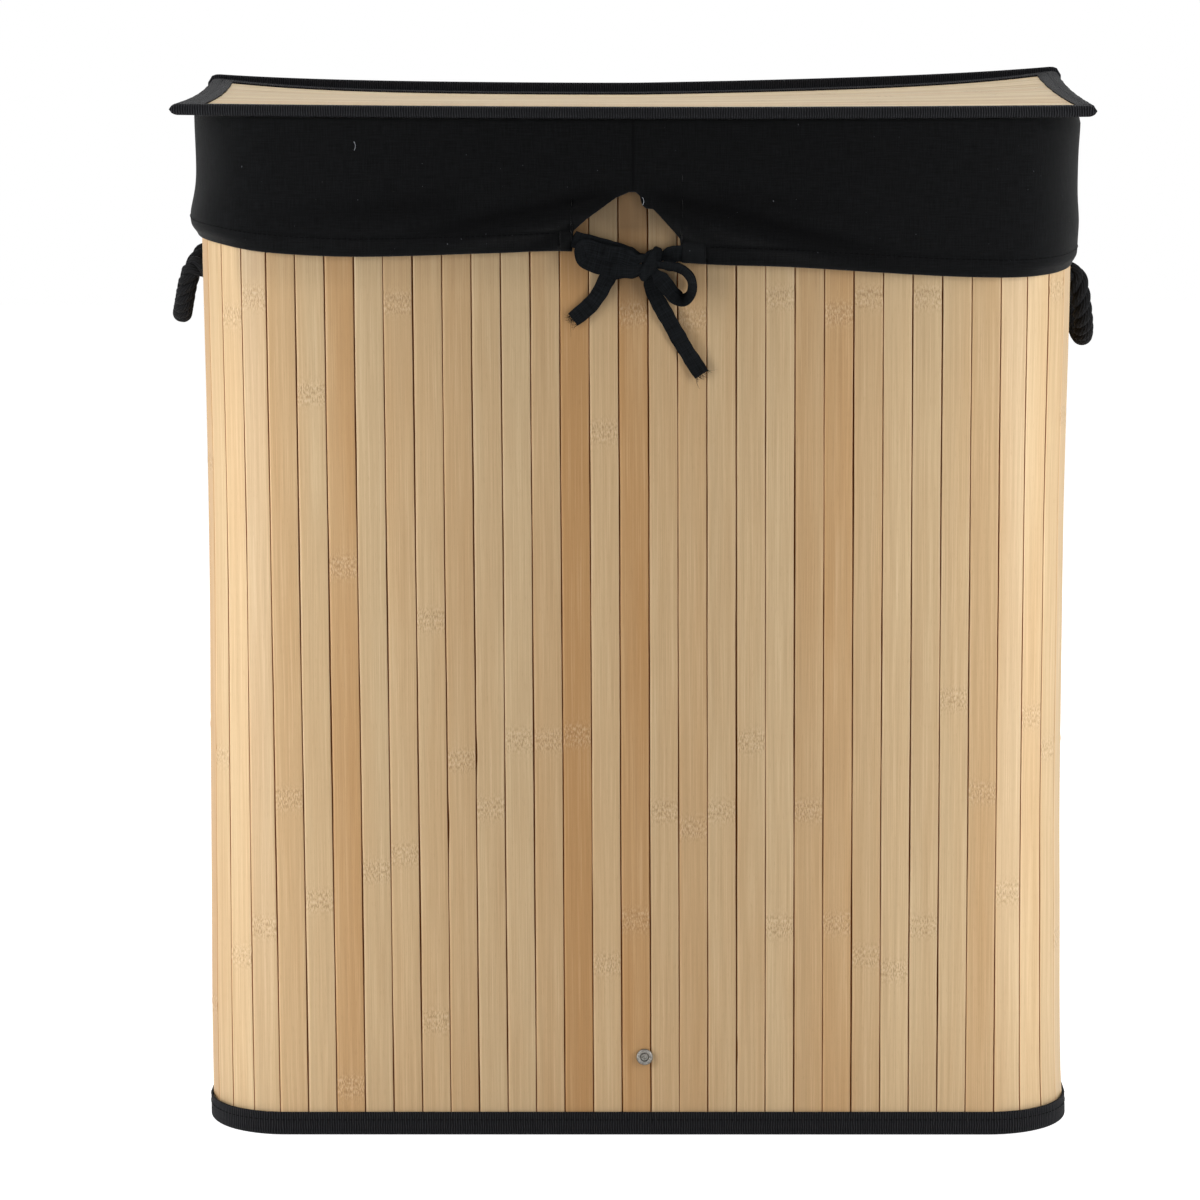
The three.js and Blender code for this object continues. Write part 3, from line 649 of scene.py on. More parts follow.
@dataclass(frozen=True)
class Finish:
    """A finish. Its material is made once and then shared.

    Attributes:
        name: the material's name.
        color: its colour, as six hexadecimal digits.
        roughness: how dull it is.
        metallic: whether it is a metal.
        sheen: how much of a cloth's soft edge light it has.
        shine: how much it reflects, where 0.5 is a varnish.
    """

    name: str
    color: str
    roughness: float = 0.5
    metallic: float = 0.0
    sheen: float = 0.0
    shine: float = 0.5

    def material(self) -> bpy.types.Material:
        """The finish's material.

        Returns:
            The material.
        """
        made = bpy.data.materials.get(self.name)
        if made is None:
            made = bpy.data.materials.new(self.name)
            made.use_nodes = True
            made.diffuse_color = srgb(self.color)
            nodes = Nodes(made.node_tree)
            shader = made.node_tree.nodes["Principled BSDF"]
            nodes.feed(shader, {
                "Roughness": self.roughness, "Metallic": self.metallic, "Specular IOR Level": self.shine,
                "Sheen Weight": self.sheen, "Sheen Roughness": 0.45,
            })
            self.dress(nodes, shader)
        return made

    def dress(self, nodes: Nodes, shader: bpy.types.Node) -> None:
        """Feeds the shader's colour, roughness and normal.

        Args:
            nodes: the material's tree.
            shader: its shader.
        """
        nodes.feed(shader, {"Base Color": srgb(self.color)})

    def group(self, nodes: Nodes, name: str, **inputs: object) -> bpy.types.Node:
        """Places a shared group, with the piece's own UV map in its vector.

        Args:
            nodes: the material's tree.
            name: the group's name.
            **inputs: the group's other inputs, by name.

        Returns:
            The group's node.
        """
        node = nodes.add("ShaderNodeGroup", node_tree=GROUPS[name])
        nodes.feed(node, {"Vector": self.places(nodes)})
        nodes.feed(node, {key.replace("_", " "): value for key, value in inputs.items()})
        return node

    @staticmethod
    def places(nodes: Nodes) -> Socket:
        """The UV map's places, in metres."""
        return nodes.add("ShaderNodeTexCoord").outputs["UV"]

    @staticmethod
    def relief(nodes: Nodes, shader: bpy.types.Node, height: Socket, depth: float) -> None:
        """Turns a height into the shader's normal.

        Args:
            nodes: the material's tree.
            shader: its shader.
            height: the height.
            depth: how high 1 stands, in metres.
        """
        inputs = {"Height": height, "Distance": depth, "Strength": 1.0}
        nodes.feed(shader, {"Normal": nodes.add("ShaderNodeBump", inputs).outputs[0]})


@dataclass(frozen=True)
class Bamboo(Finish):
    """Split bamboo under clear satin varnish.

    Attributes:
        honey: the colour of the slats from near the skin.
        streak: the colour of the darker fibres.
        knot: the pale scar across a slat at each joint of the cane.
        side: the colour of its sides, which are left without varnish.
    """

    honey: str = "c99c68"
    streak: str = "94693c"
    knot: str = "f3dfbd"
    side: str = "96501a"

    def dress(self, nodes: Nodes, shader: bpy.types.Node) -> None:
        """Colours each slat by its tone, then its fibres, pores, joints and sides, and its shade, which
        holds painted light and shade.

        Args:
            nodes: the material's tree.
            shader: its shader.
        """
        fibres = self.group(nodes, "Fibres")
        streak, pore = fibres.outputs["Streak"], fibres.outputs["Pore"]
        places = self.places(nodes)
        joint, edge = nodes.mark("joint"), nodes.mark("edge")
        drift = nodes.drawn_out(places, (45.0, 3.5, 1.0), 3.0)
        tone = nodes.math("ADD", nodes.mark("tone"), nodes.math("MULTIPLY_ADD", drift, 0.9, -0.46))
        scrawl = nodes.drawn_out(places, (1400.0, 430.0, 1.0), 2.0)
        pits = nodes.times(joint, nodes.ramp(scrawl, 0.47, 0.4))
        color = nodes.mix(nodes.ramp(tone, 0.0, 1.0), srgb(self.color), srgb(self.honey))
        color = nodes.tint(
            color,
            (nodes.ramp(streak, 0.4, 0.66), 0.27, self.streak),
            (nodes.ramp(streak, 0.46, 0.3), 0.2, self.knot),
            (pore, 0.3, self.streak),
            (nodes.times(joint, nodes.ramp(scrawl, 0.53, 0.6)), 0.3, self.knot),
            (pits, 0.38, self.streak),
            (edge, 0.8, self.side),
        )
        # the shade mark is each slat's own tone times a painted highlight, painted light and painted shade
        shade = nodes.add("ShaderNodeCombineColor", {k: nodes.mark("shade") for k in range(3)}).outputs[0]
        rough = nodes.math("ADD", nodes.math("MULTIPLY_ADD", streak, 0.22, self.roughness), edge)
        nodes.feed(shader, {"Base Color": nodes.mix(1.0, color, shade, "MULTIPLY"), "Roughness": rough})
        self.relief(nodes, shader, nodes.math("MULTIPLY_ADD", pits, 0.8, streak), 0.09 * MM)


@dataclass(frozen=True)
class Cotton(Finish):
    """Near-black plain weave with slubs and a little lint.

    Attributes:
        worn: the colour of the threads that catch the light.
        rubbed: the colour where it is rubbed or lies double.
        deep: the painted shade in a fold's hollow.
        lint: the lint's colour.
        threads: threads to the metre.
    """

    worn: str = "18191b"
    rubbed: str = "34373a"
    deep: str = "020203"
    lint: str = "8f9299"
    threads: float = 1500.0

    def dress(self, nodes: Nodes, shader: bpy.types.Node) -> None:
        """Colours the threads with their painted highlight, the worn places and the lint, paints shade into
        the hollows, and raises the threads.

        Args:
            nodes: the material's tree.
            shader: its shader.
        """
        weave = self.group(nodes, "Plain weave", Threads_per_metre=self.threads)
        color = nodes.tint(
            srgb(self.color),
            # the lighter threads: their own colour and a painted highlight
            (nodes.ramp(weave.outputs["Thread"], 0.3, 0.78), 1.0, self.worn),
            (nodes.mark("worn"), 0.18, self.rubbed),
            # painted shade in the folds' hollows and along the seam
            (nodes.mark("hollow"), 0.75, self.deep),
            (weave.outputs["Lint"], 0.35, self.lint),
        )
        nodes.feed(shader, {"Base Color": color})
        self.relief(nodes, shader, weave.outputs["Height"], 0.22 * MM)


@dataclass(frozen=True)
class RibbedTape(Finish):
    """Black tape woven with ribs across it.

    Attributes:
        crest: the painted highlight along the top of a rib.
        ribs: ribs to the metre.
    """

    crest: str = "424347"
    ribs: float = 690.0

    def dress(self, nodes: Nodes, shader: bpy.types.Node) -> None:
        """Paints a highlight on the crests and raises the ribs.

        Args:
            nodes: the material's tree.
            shader: its shader.
        """
        rib = self.group(nodes, "Ribs", Ribs_per_metre=self.ribs).outputs[0]
        weave = self.group(nodes, "Plain weave", Threads_per_metre=2600.0)
        # painted highlight on the ribs' crests
        crest = nodes.times(nodes.math("POWER", rib, 2.0), weave.outputs["Thread"])
        nodes.feed(shader, {"Base Color": nodes.mix(crest, srgb(self.color), srgb(self.crest))})
        height = nodes.math("MULTIPLY_ADD", weave.outputs["Height"], 0.3, rib)
        self.relief(nodes, shader, height, 0.5 * MM)


@dataclass(frozen=True)
class Yarn(Finish):
    """Soft yarn, twisted into a strand.

    Attributes:
        lit: the colour of the yarn that stands out.
        turns: yarns to the metre, counted along the strand.
    """

    # lit: the painted highlight on the yarn that stands out.
    lit: str = "1f2023"
    turns: float = 520.0

    def dress(self, nodes: Nodes, shader: bpy.types.Node) -> None:
        """Draws the yarns aslant over the strand, with a painted highlight where they stand out, and stray
        fibres.

        Args:
            nodes: the material's tree.
            shader: its shader.
        """
        places = self.places(nodes)
        parts = nodes.add("ShaderNodeSeparateXYZ", {0: places})
        slant = nodes.math("MULTIPLY_ADD", parts.outputs[1], 1.1, parts.outputs[0])
        yarn = nodes.math("SINE", nodes.times(slant, self.turns * 2 * math.pi))
        yarn = nodes.math("MULTIPLY_ADD", yarn, 0.5, 0.5)
        fuzz = nodes.noise(places, 5200.0, 3.0)
        # painted highlight on the raised yarns
        color = nodes.mix(nodes.times(yarn, fuzz), srgb(self.color), srgb(self.lit))
        nodes.feed(shader, {"Base Color": color})
        self.relief(nodes, shader, nodes.math("MULTIPLY_ADD", fuzz, 0.5, yarn), 0.4 * MM)


@dataclass(frozen=True)
class Nickel(Finish):
    """Nickel plate, dulled by fine scratches and finger marks.

    Attributes:
        dull: the colour of the marks.
    """

    dull: str = "5d5a55"

    def dress(self, nodes: Nodes, shader: bpy.types.Node) -> None:
        """Breaks up the shine and the colour.

        Args:
            nodes: the material's tree.
            shader: its shader.
        """
        places = nodes.add("ShaderNodeTexCoord").outputs["Object"]
        marks = nodes.noise(places, 900.0, 4.0)
        color = nodes.mix(nodes.ramp(marks, 0.35, 0.75), srgb(self.color), srgb(self.dull))
        rough = nodes.math("MULTIPLY_ADD", marks, 0.3, self.roughness)
        nodes.feed(shader, {"Base Color": color, "Roughness": rough})
        self.relief(nodes, shader, nodes.noise(places, 3000.0, 2.0), 0.03 * MM)


@dataclass(frozen=True)
class Mottled(Finish):
    """A plain matt finish with a soft mottle, such as pressed board.

    Attributes:
        patch: the mottle's colour.
        grain: the mottle's scale.
    """

    patch: str = "52402e"
    grain: float = 700.0

    def dress(self, nodes: Nodes, shader: bpy.types.Node) -> None:
        """Mixes the two colours by noise.

        Args:
            nodes: the material's tree.
            shader: its shader.
        """
        places = nodes.add("ShaderNodeTexCoord").outputs["Object"]
        mottle = nodes.noise(places, self.grain, 4.0)
        nodes.feed(shader, {"Base Color": nodes.mix(mottle, srgb(self.color), srgb(self.patch))})
        self.relief(nodes, shader, mottle, 0.1 * MM)


BAMBOO = Bamboo("Bamboo", "dcc096", roughness=0.4, shine=0.35)
PALE_BAMBOO = Bamboo("Pale bamboo", "f2dcb6", roughness=0.5, shine=0.12, honey="deb482")
BACKING = Mottled("Backing cloth", "a0602c", roughness=0.95, shine=0.0, patch="864a1c", grain=1500.0)
TAPE = RibbedTape("Ribbed tape", "101012", roughness=0.7, shine=0.07)
# a lighter copy of the tape for the hinge's fold: painted light, with brighter painted highlights on its
# ribs
PAINTED_LIGHT_TAPE = RibbedTape("Painted light tape", "1c1c1f", roughness=0.7, shine=0.09, crest="4a4b50")
COTTON = Cotton("Cotton", "070808", roughness=0.9, sheen=0.22, shine=0.02)
# its lighter threads carry a painted highlight
STRING = Cotton("Cotton tape", "08090a", roughness=0.85, shine=0.05, worn="26292c", threads=2100.0)
THREAD = Finish("Sewing thread", "0a0a0b", roughness=0.8, shine=0.03)
LINT = Finish("Lint", "9a9ea5", roughness=0.8, shine=0.1)
ROPE = Yarn("Rope yarn", "09090a", roughness=0.8, shine=0.14)
NICKEL = Nickel("Nickel", "8f8d88", roughness=0.3, metallic=1.0)
BOARD = Mottled("Hardboard", "6a4e33", roughness=0.75)


# The stage and the camera


def stand(
    name: str, data: bpy.types.ID, axes: tuple[Array, ...], place: tuple[float, float, float]
) -> Piece:
    """Puts a camera or a lamp in the scene.

    Args:
        name: its name.
        data: its settings.
        axes: the directions of its own x, y and z.
        place: where it stands.

    Returns:
        The object.
    """
    thing = bpy.data.objects.new(name, data)
    columns = [[*axis, 0] for axis in axes] + [[*place, 1]]
    thing.matrix_world = Matrix(np.column_stack(columns).tolist())
    bpy.context.scene.collection.objects.link(thing)
    return thing


@dataclass(frozen=True)
class Camera:
    """The photograph's camera.

    Attributes:
        place: where it stands.
        yaw: how far it is turned to the left of straight ahead, in degrees.
        pitch: how far it looks down, in degrees.
        roll: how far it is turned about its own axis, in degrees.
        lens: its focal length on a 36 mm sensor, in millimetres.
    """

    place: tuple[float, float, float] = (0.0275, -2.5113, 0.6903)
    yaw: float = 1.16
    pitch: float = 8.82
    roll: float = -0.32
    lens: float = 121.65

    def build(self) -> None:
        """Sets up the camera from its axes."""
        yaw, pitch, roll = (math.radians(a) for a in (self.yaw, self.pitch, self.roll))
        level = math.cos(pitch)
        ahead = np.array([-math.sin(yaw) * level, math.cos(yaw) * level, -math.sin(pitch)])
        right = np.array([math.cos(yaw), math.sin(yaw), 0.0])
        up = np.cross(right, ahead)
        x = math.cos(roll) * right + math.sin(roll) * up
        y = math.cos(roll) * up - math.sin(roll) * right
        data = bpy.data.cameras.new("camera")
        data.lens, data.sensor_width = self.lens, 36.0
        bpy.context.scene.camera = stand("camera", data, (x, y, -ahead), self.place)


@dataclass(frozen=True)
class Lamp:
    """A soft box that faces a point.

    Attributes:
        name: the lamp's name.
        place: where it stands.
        target: what it faces.
        size: its width and height.
        power: its power in watts.
    """

    name: str
    place: tuple[float, float, float]
    target: tuple[float, float, float]
    size: tuple[float, float]
    power: float

    def build(self) -> None:
        """Makes the lamp and turns it to its target."""
        data = bpy.data.lights.new(self.name, "AREA")
        data.shape = "RECTANGLE"
        data.size, data.size_y = self.size
        data.energy = self.power
        away = unit(np.subtract(self.place, self.target))
        side = unit(np.cross([0.0, 0.0, 1.0], away))
        stand(self.name, data, (side, np.cross(away, side), away), self.place).visible_camera = False


@dataclass(frozen=True)
class Studio:
    """A white floor and surround, a strip light at each side, and weak lights above and behind.

    Attributes:
        ambient: the surround's light on what isn't seen directly.
        floor_size: the floor's side.
        floor_color: its colour.
        glow: how far it glows for the camera, under the hamper and far away.
        fade: from where to where on the floor the one goes over to the other.
        lamps: the lights.
    """

    ambient: float = 0.06
    floor_size: float = 12.0
    floor_color: str = "e6e6e6"
    glow: tuple[float, float] = (0.84, 0.97)
    fade: tuple[float, float] = (0.4, 2.0)
    lamps: tuple[Lamp, ...] = (
        Lamp("left_strip", (-0.54, -0.40, 0.31), (-0.12, -0.16, 0.25), (0.14, 1.0), 3.5),
        Lamp("right_strip", (0.54, -0.40, 0.31), (0.12, -0.16, 0.25), (0.14, 1.0), 3.35),
        Lamp("top_box", (0.0, 0.3, 2.4), (0.0, 0.0, 0.6), (1.6, 0.9), 17.0),
        Lamp("back_box", (0.0, 2.2, 1.4), (0.0, 0.1, 0.3), (1.8, 1.2), 8.0),
    )

    def build(self) -> None:
        """Sets up the surround, the lamps and the floor."""
        scene = bpy.context.scene
        scene.view_settings.view_transform = "Standard"
        world = bpy.data.worlds.new("surround")
        world.use_nodes = True
        nodes = Nodes(world.node_tree)
        background = world.node_tree.nodes["Background"]
        strength = nodes.math("MAXIMUM", self.seen(nodes), self.ambient)
        nodes.feed(background, {"Color": (1.0, 1.0, 1.0, 1.0), "Strength": strength})
        scene.world = world
        for lamp in self.lamps:
            lamp.build()
        self.floor()

    @staticmethod
    def seen(nodes: Nodes) -> Socket:
        """One where a ray comes from the camera, a reflection or a view through glass.

        Args:
            nodes: the tree.

        Returns:
            The socket of that number.
        """
        path = nodes.add("ShaderNodeLightPath")
        rays = nodes.math("ADD", path.outputs["Is Camera Ray"], path.outputs["Is Glossy Ray"])
        return nodes.math("MINIMUM", nodes.math("ADD", rays, path.outputs["Is Transmission Ray"]), 1.0)

    def floor(self) -> None:
        """Lays the floor, which glows for the camera and so is white but for the hamper's shadow."""
        half = self.floor_size / 2
        corners = [(x * half, y * half, 0) for x, y in ((-1, -1), (1, -1), (1, 1), (-1, 1))]
        mesh = bpy.data.meshes.new("floor")
        mesh.from_pydata(corners, [], [(0, 1, 2, 3)])
        floor = bpy.data.objects.new("floor", mesh)
        bpy.context.scene.collection.objects.link(floor)
        material = bpy.data.materials.new("Floor")
        material.use_nodes = True
        nodes = Nodes(material.node_tree)
        places = nodes.add("ShaderNodeTexCoord").outputs["Object"]
        away = nodes.add("ShaderNodeVectorMath", {0: places}, operation="LENGTH").outputs["Value"]
        near, far = self.glow
        glow = nodes.math("MULTIPLY_ADD", nodes.ramp(away, *self.fade), far - near, near)
        nodes.feed(material.node_tree.nodes["Principled BSDF"], {
            "Base Color": srgb(self.floor_color), "Roughness": 1.0, "Specular IOR Level": 0.0,
            "Emission Color": (1.0, 1.0, 1.0, 1.0), "Emission Strength": nodes.times(self.seen(nodes), glow),
        })
        mesh.materials.append(material)


# The hamper's outline


@dataclass
class Outline:
    """A rectangle with round corners, walked from the middle of the front towards the right.

    Its heading is level along a flat and grows evenly round a corner, and its place is the sum of
    the steps along that heading.

    Attributes:
        half_width: half of its width.
        half_depth: half of its depth.
        radius: its corners' radius.
    """

    half_width: float
    half_depth: float
    radius: float

    def __post_init__(self) -> None:
        """Sums the outline in fine steps."""
        count = 8000
        arc = self.radius * math.pi / 2
        long, short = 2 * (self.half_width - self.radius), 2 * (self.half_depth - self.radius)
        runs = np.array([long / 2, arc, short, arc, long, arc, short, arc, long / 2])
        turns = np.array([0, 1, 0, 1, 0, 1, 0, 1, 0]) * math.pi / 2
        self.length = float(runs.sum())
        self.steps = np.linspace(0, self.length, count + 1)
        ends, headings = (np.concatenate([[0], np.cumsum(x)]) for x in (runs, turns))
        self.heading = np.interp(self.steps, ends, headings)
        middle = (self.heading[1:] + self.heading[:-1]) / 2
        step = self.length / count
        self.x = np.concatenate([[0], np.cumsum(np.cos(middle))]) * step
        self.y = np.concatenate([[0], np.cumsum(np.sin(middle))]) * step - self.half_depth

    def out(self, s: Array) -> Array:
        """The direction outwards at the given distances along the outline."""
        heading = np.interp(np.mod(s, self.length), self.steps, self.heading)
        return np.stack([np.sin(heading), -np.cos(heading), np.zeros_like(heading)], -1)

    def place(self, s: Array, off: Array, z: Array) -> Array:
        """Points beside the outline, moved as the hamper has settled.

        Args:
            s: distances along the outline.
            off: how far outwards from it.
            z: heights.

        Returns:
            The points [..., xyz].
        """
        s, off, z = np.broadcast_arrays(s, off, z)
        at = np.mod(s, self.length)
        base = join(np.interp(at, self.steps, self.x), np.interp(at, self.steps, self.y), z)
        return SETTLING.apply(base + self.out(s) * off[..., None])


@dataclass(frozen=True)
class Settling:
    """How the hamper has settled: its sides are drawn in at half height, and its rim sags.

    Attributes:
        left: how far the left side is drawn in at given heights, all in millimetres.
        right: the same for the right side.
        side: from where to where along x, in metres, a wall goes over to its side.
        upper: from where to where up the walls, in metres, the rim's sag takes hold.
        reach: the rim's half width and its depth, in metres.
        front: the rim's height along the front, left to right, against its true height, as the
            constant, the slope and the square's factor of a curve, in millimetres.
        back: the same along the back, with a power in place of the square.
        back_power: that power.
    """

    left: tuple[tuple[float, float], ...] = (
        (-50, 0), (20, 0), (75, 0.2), (133, 1.1), (191, 1.9), (250, 2.7), (310, 3.6), (370, 4.1), (430, 4.1),
        (480, 3.8), (540, 3.5), (600, 3.2), (640, 3.0),
    )
    right: tuple[tuple[float, float], ...] = (
        (-50, 0), (8, 0.2), (25, 1.2), (60, 2.2), (133, 3.1), (191, 3.9), (250, 3.9), (310, 3.8), (370, 3.6),
        (430, 2.7), (480, 1.8), (540, 1.1), (600, 0.2), (640, 0.0),
    )
    side: tuple[float, float] = (0.205, 0.262)
    upper: tuple[float, float] = (0.5, 0.6)
    reach: tuple[float, float] = (0.267, 0.326)
    front: tuple[float, float, float] = (-2.0, -1.85, 1.55)
    back: tuple[float, float, float] = (-2.7, 1.1, 5.2)
    back_power: float = 1.4

    def drawn_in(self, z: Array, side: tuple[tuple[float, float], ...]) -> Array:
        """How far a side is drawn in at the heights z: a smooth curve through its places."""
        fine = spline(np.array(side) * MM, np.linspace(0, 1, 400))
        return np.interp(z, fine[:, 0], fine[:, 1])

    def rim(self, x: Array, y: Array) -> Array:
        """The rim's height against its true one: the front's curve going over to the back's.

        Args:
            x: distances to the right of the middle.
            y: distances behind the middle.

        Returns:
            The heights.
        """
        half_width, depth = self.reach
        u = np.clip(x / half_width, -1, 1)
        w = np.clip(0.5 + y / depth, 0, 1)
        (a, b, c), (d, e, f) = self.front, self.back
        return MM * ((1 - w) * (a + b * u + c * u * u) + w * (d + e * u + f * np.abs(u) ** self.back_power))

    def apply(self, points: Array) -> Array:
        """Moves points to where they have settled.

        Args:
            points: the hamper's true places [..., xyz].

        Returns:
            The settled places.
        """
        x, y, z = np.moveaxis(points, -1, 0)
        pull = np.where(x < 0, self.drawn_in(z, self.left), self.drawn_in(z, self.right))
        moved = points.copy()
        moved[..., 0] -= np.sign(x) * pull * smooth(np.abs(x), *self.side)
        moved[..., 2] += self.rim(x, y) * smooth(z, *self.upper)
        return moved


SETTLING = Settling()

HALF_DEPTH = -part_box("front_slat_wall")[0].y
HALF_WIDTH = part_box("right_slat_wall")[1].x
WALL_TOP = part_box("front_slat_wall")[1].z
WALL_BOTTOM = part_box("front_slat_wall")[0].z
WALL_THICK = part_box("front_slat_wall")[1].y + HALF_DEPTH
CUFF_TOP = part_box("liner_cuff")[1].z
OUTLINE = Outline(HALF_WIDTH, HALF_DEPTH, 48.6 * MM)


# The slat curtain


@dataclass
class SlatCurtain:
    """Upright slats glued edge to edge on a backing cloth, as four walls and four corners.

    Attributes:
        pitch: from slat to slat.
        gap: between two slats.
        thick: a slat's thickness.
        bevel: how far a slat's edges are rounded.
        crown: how much a slat's middle stands proud of its edges.
        long: slats along the front, and along the back.
        short: slats along a side.
        turn: slats round a corner.
        rows: steps up a slat, besides those at its joints.
        joint_rows: more steps at each joint of the cane.
        shaded_rows: where further rows begin and end under the cuff, and how many.
        joint_reach: how far these go from it.
        joint_rise: how far the joint's ridge stands out.
        ridge: how far the ridge, the groove above it and the scar reach, and where the groove lies.
        waves: how an edge waves: the angle to the metre and how far, in millimetres.
        painted_light_low: how much painted light makes a slat lighter at the floor, and up to where that
            fades.
        shaded: how much painted shade makes it darker at the rim, and from where to where that grows.
        slit_shade: how much painted shade darkens the slit, with its middle, its reach, and its lower and
            upper end.
        bow_shade: how much painted shade darkens below the bow, with the place and the reach along x and z.
        hem_shade: how much painted shade darkens just under the hem, with where that begins and ends.
        darkest: the most of its colour that a slat loses to this painted shade.
        nicks: where a slat's left edge is split away: its number, the height, the reach and the depth.
        seen_joints: the joints' heights on the front, in millimetres, by the slat's number.
        seen_tones: how honey-coloured some slats of the front are, by their number.
    """

    pitch: float = 17.1 * MM
    gap: float = 0.6 * MM
    thick: float = 2.2 * MM
    bevel: float = 0.5 * MM
    crown: float = 0.1 * MM
    long: int = 25
    short: int = 13
    turn: int = 4
    rows: int = 90
    joint_rows: int = 15
    shaded_rows: tuple[float, float, int] = (490 * MM, 568 * MM, 11)
    joint_reach: float = 9 * MM
    joint_rise: float = 0.22 * MM
    ridge: tuple[float, float, float, float] = (2.2 * MM, 1.6 * MM, 6.2 * MM, 4.4 * MM)
    waves: tuple[tuple[float, float], ...] = ((18.0, 0.09), (46.0, 0.05), (122.0, 0.03))
    painted_light_low: tuple[float, float, float] = (0.055, 0.05, 0.25)
    shaded: tuple[float, float, float] = (0.075, 0.40, 0.52)
    slit_shade: tuple[float, ...] = (0.6, -2 * MM, 30 * MM, 526 * MM, 550 * MM)
    bow_shade: tuple[float, ...] = (0.46, -3 * MM, 19 * MM, 509 * MM, 15 * MM)
    hem_shade: tuple[float, ...] = (0.17, 500 * MM, 526 * MM)
    darkest: float = 0.68
    nicks: tuple[tuple[int, float, float, float], ...] = (
        (6, 0.19, 0.014, 0.0006), (7, 0.232, 0.010, 0.0005), (16, 0.052, 0.006, 0.0004),
    )
    seen_joints: dict[int, tuple[int, ...]] = field(default_factory=lambda: {
        -2: (108, 492), -1: (127, 503), 0: (206,), 1: (144, 447), 2: (30, 345), 3: (162,),
        4: (172, 500), 5: (70, 313), 6: (229,), 7: (200,), 8: (241,), 9: (241,), 10: (244,),
        11: (105, 424), 12: (132, 493), 13: (198,), 14: (188, 490), 15: (198,), 16: (240,),
        17: (128, 502), 18: (198,), 19: (130, 493), 20: (110, 502), 21: (101,), 22: (128, 502),
        23: (265,), 24: (209,), 25: (148,), 26: (253,),
    })
    seen_tones: dict[int, float] = field(default_factory=lambda: {
        -3: 0.1, -2: 0.1, -1: 0.2, 0: 0.4, 1: 0.15, 2: 0.72, 3: 0.1, 4: 0.25, 5: 0.2, 6: 0.35, 7: 0.1,
        8: 0.0, 9: 0.4, 10: 1.0, 11: 0.2, 12: 0.9, 13: 0.2, 14: 0.45, 15: 0.15, 16: 0.15, 17: 0.05,
        18: 0.45, 19: 0.65, 20: 0.35, 21: 0.05, 22: 0.1, 23: 0.05, 24: 0.35, 25: 0.15, 26: 0.1, 27: 0.05,
        28: 0.05,
    })

    def __post_init__(self) -> None:
        """Walks round the curtain: each slat's heading, and the sum of the steps before it."""
        step = math.pi / 2 / (self.turn + 1)
        corner = step * np.arange(1, self.turn + 1)
        flats = [np.zeros(n) for n in (self.long, self.short) * 2]
        headings = [k * math.pi / 2 + np.concatenate([flat, corner]) for k, flat in enumerate(flats)]
        self.heading = np.concatenate(headings)
        self.along = np.stack([np.cos(self.heading), np.sin(self.heading), np.zeros_like(self.heading)], 1)
        self.out = np.stack([self.along[:, 1], -self.along[:, 0], self.along[:, 2]], 1)
        first = np.array([-self.long * self.pitch / 2, -HALF_DEPTH, 0.0])
        self.start = first + self.pitch * (np.cumsum(self.along, 0) - self.along)
        self.mitre = math.tan(step / 2)
        self.rng = np.random.default_rng(SEED)
        self.vary()

    def vary(self) -> None:
        """Gives each slat its tone, shade, joints and small faults of size and place."""
        count = len(self.heading)
        self.tone = np.clip(self.rng.normal(0.25, 0.28, count), 0, 1)
        self.shade = np.clip(self.rng.normal(0.985, 0.022, count), 0.92, 1.03)
        low = self.rng.uniform(40, 300, count)
        self.joints = np.stack([low, low + self.rng.uniform(250, 340, count)], 1) * MM
        for number, heights in self.seen_joints.items():
            self.joints[number] = (np.array([*heights, 900])[:2]) * MM
        for number, tone in self.seen_tones.items():
            self.tone[number] = tone
        self.shift = self.rng.normal(0, 0.07 * MM, count)
        self.sink = self.rng.uniform(0, 0.14 * MM, count)
        self.phase = self.rng.uniform(0, 2 * math.pi, (count, 3))

    def profile(self) -> tuple[Array, Array]:
        """A slat's section.

        Returns:
            How far each of its points lies along the pitch, and how deep in the wall.
        """
        left = self.gap / 2
        edge, depth = rounded_edge(self.bevel, self.thick)
        flat = left + 3 * self.bevel
        middle = np.linspace(flat, self.pitch - flat, 3)
        t = np.concatenate([left + edge, middle, self.pitch - left - edge[::-1]])
        d = np.concatenate([depth, -self.crown * np.array([0.6, 1, 0.6]), depth[::-1]])
        return t, d

    def slats(self, numbers: Array) -> tuple[Array, Array, dict[str, Array]]:
        """The slats with the given numbers.

        The section goes up the slat. Its front swells out as a bell at each joint, with a groove
        above it, and its edges wave by sines of the height.

        Args:
            numbers: which slats.

        Returns:
            Their points [slat, row, column], their map and their marks.
        """
        t, d = self.profile()
        z = self.heights(numbers)
        from_joint = z[:, :, None] - self.joints[numbers][:, None]
        ridge, groove, scar, above = self.ridge
        rise = bump(from_joint, 0, ridge) - 0.8 * bump(from_joint, above, groove)
        rise = rise.sum(2) * self.joint_rise
        mark = np.clip(1.5 * bump(from_joint, 0, scar).sum(2), 0, 1)
        turns, sway = np.array(self.waves).T[:, None, :, None]
        wave = (np.sin(z[:, None] * turns + self.phase[numbers][:, :, None]) * sway).sum(1) * MM
        # painted light near the floor and painted shade towards the rim
        (light, *low), (dark, *high) = self.painted_light_low, self.shaded
        painted_light_and_shade = 1 + light * (1 - smooth(z, *low)) - dark * smooth(z, *high)
        face = (d < self.bevel / 4).astype(float)
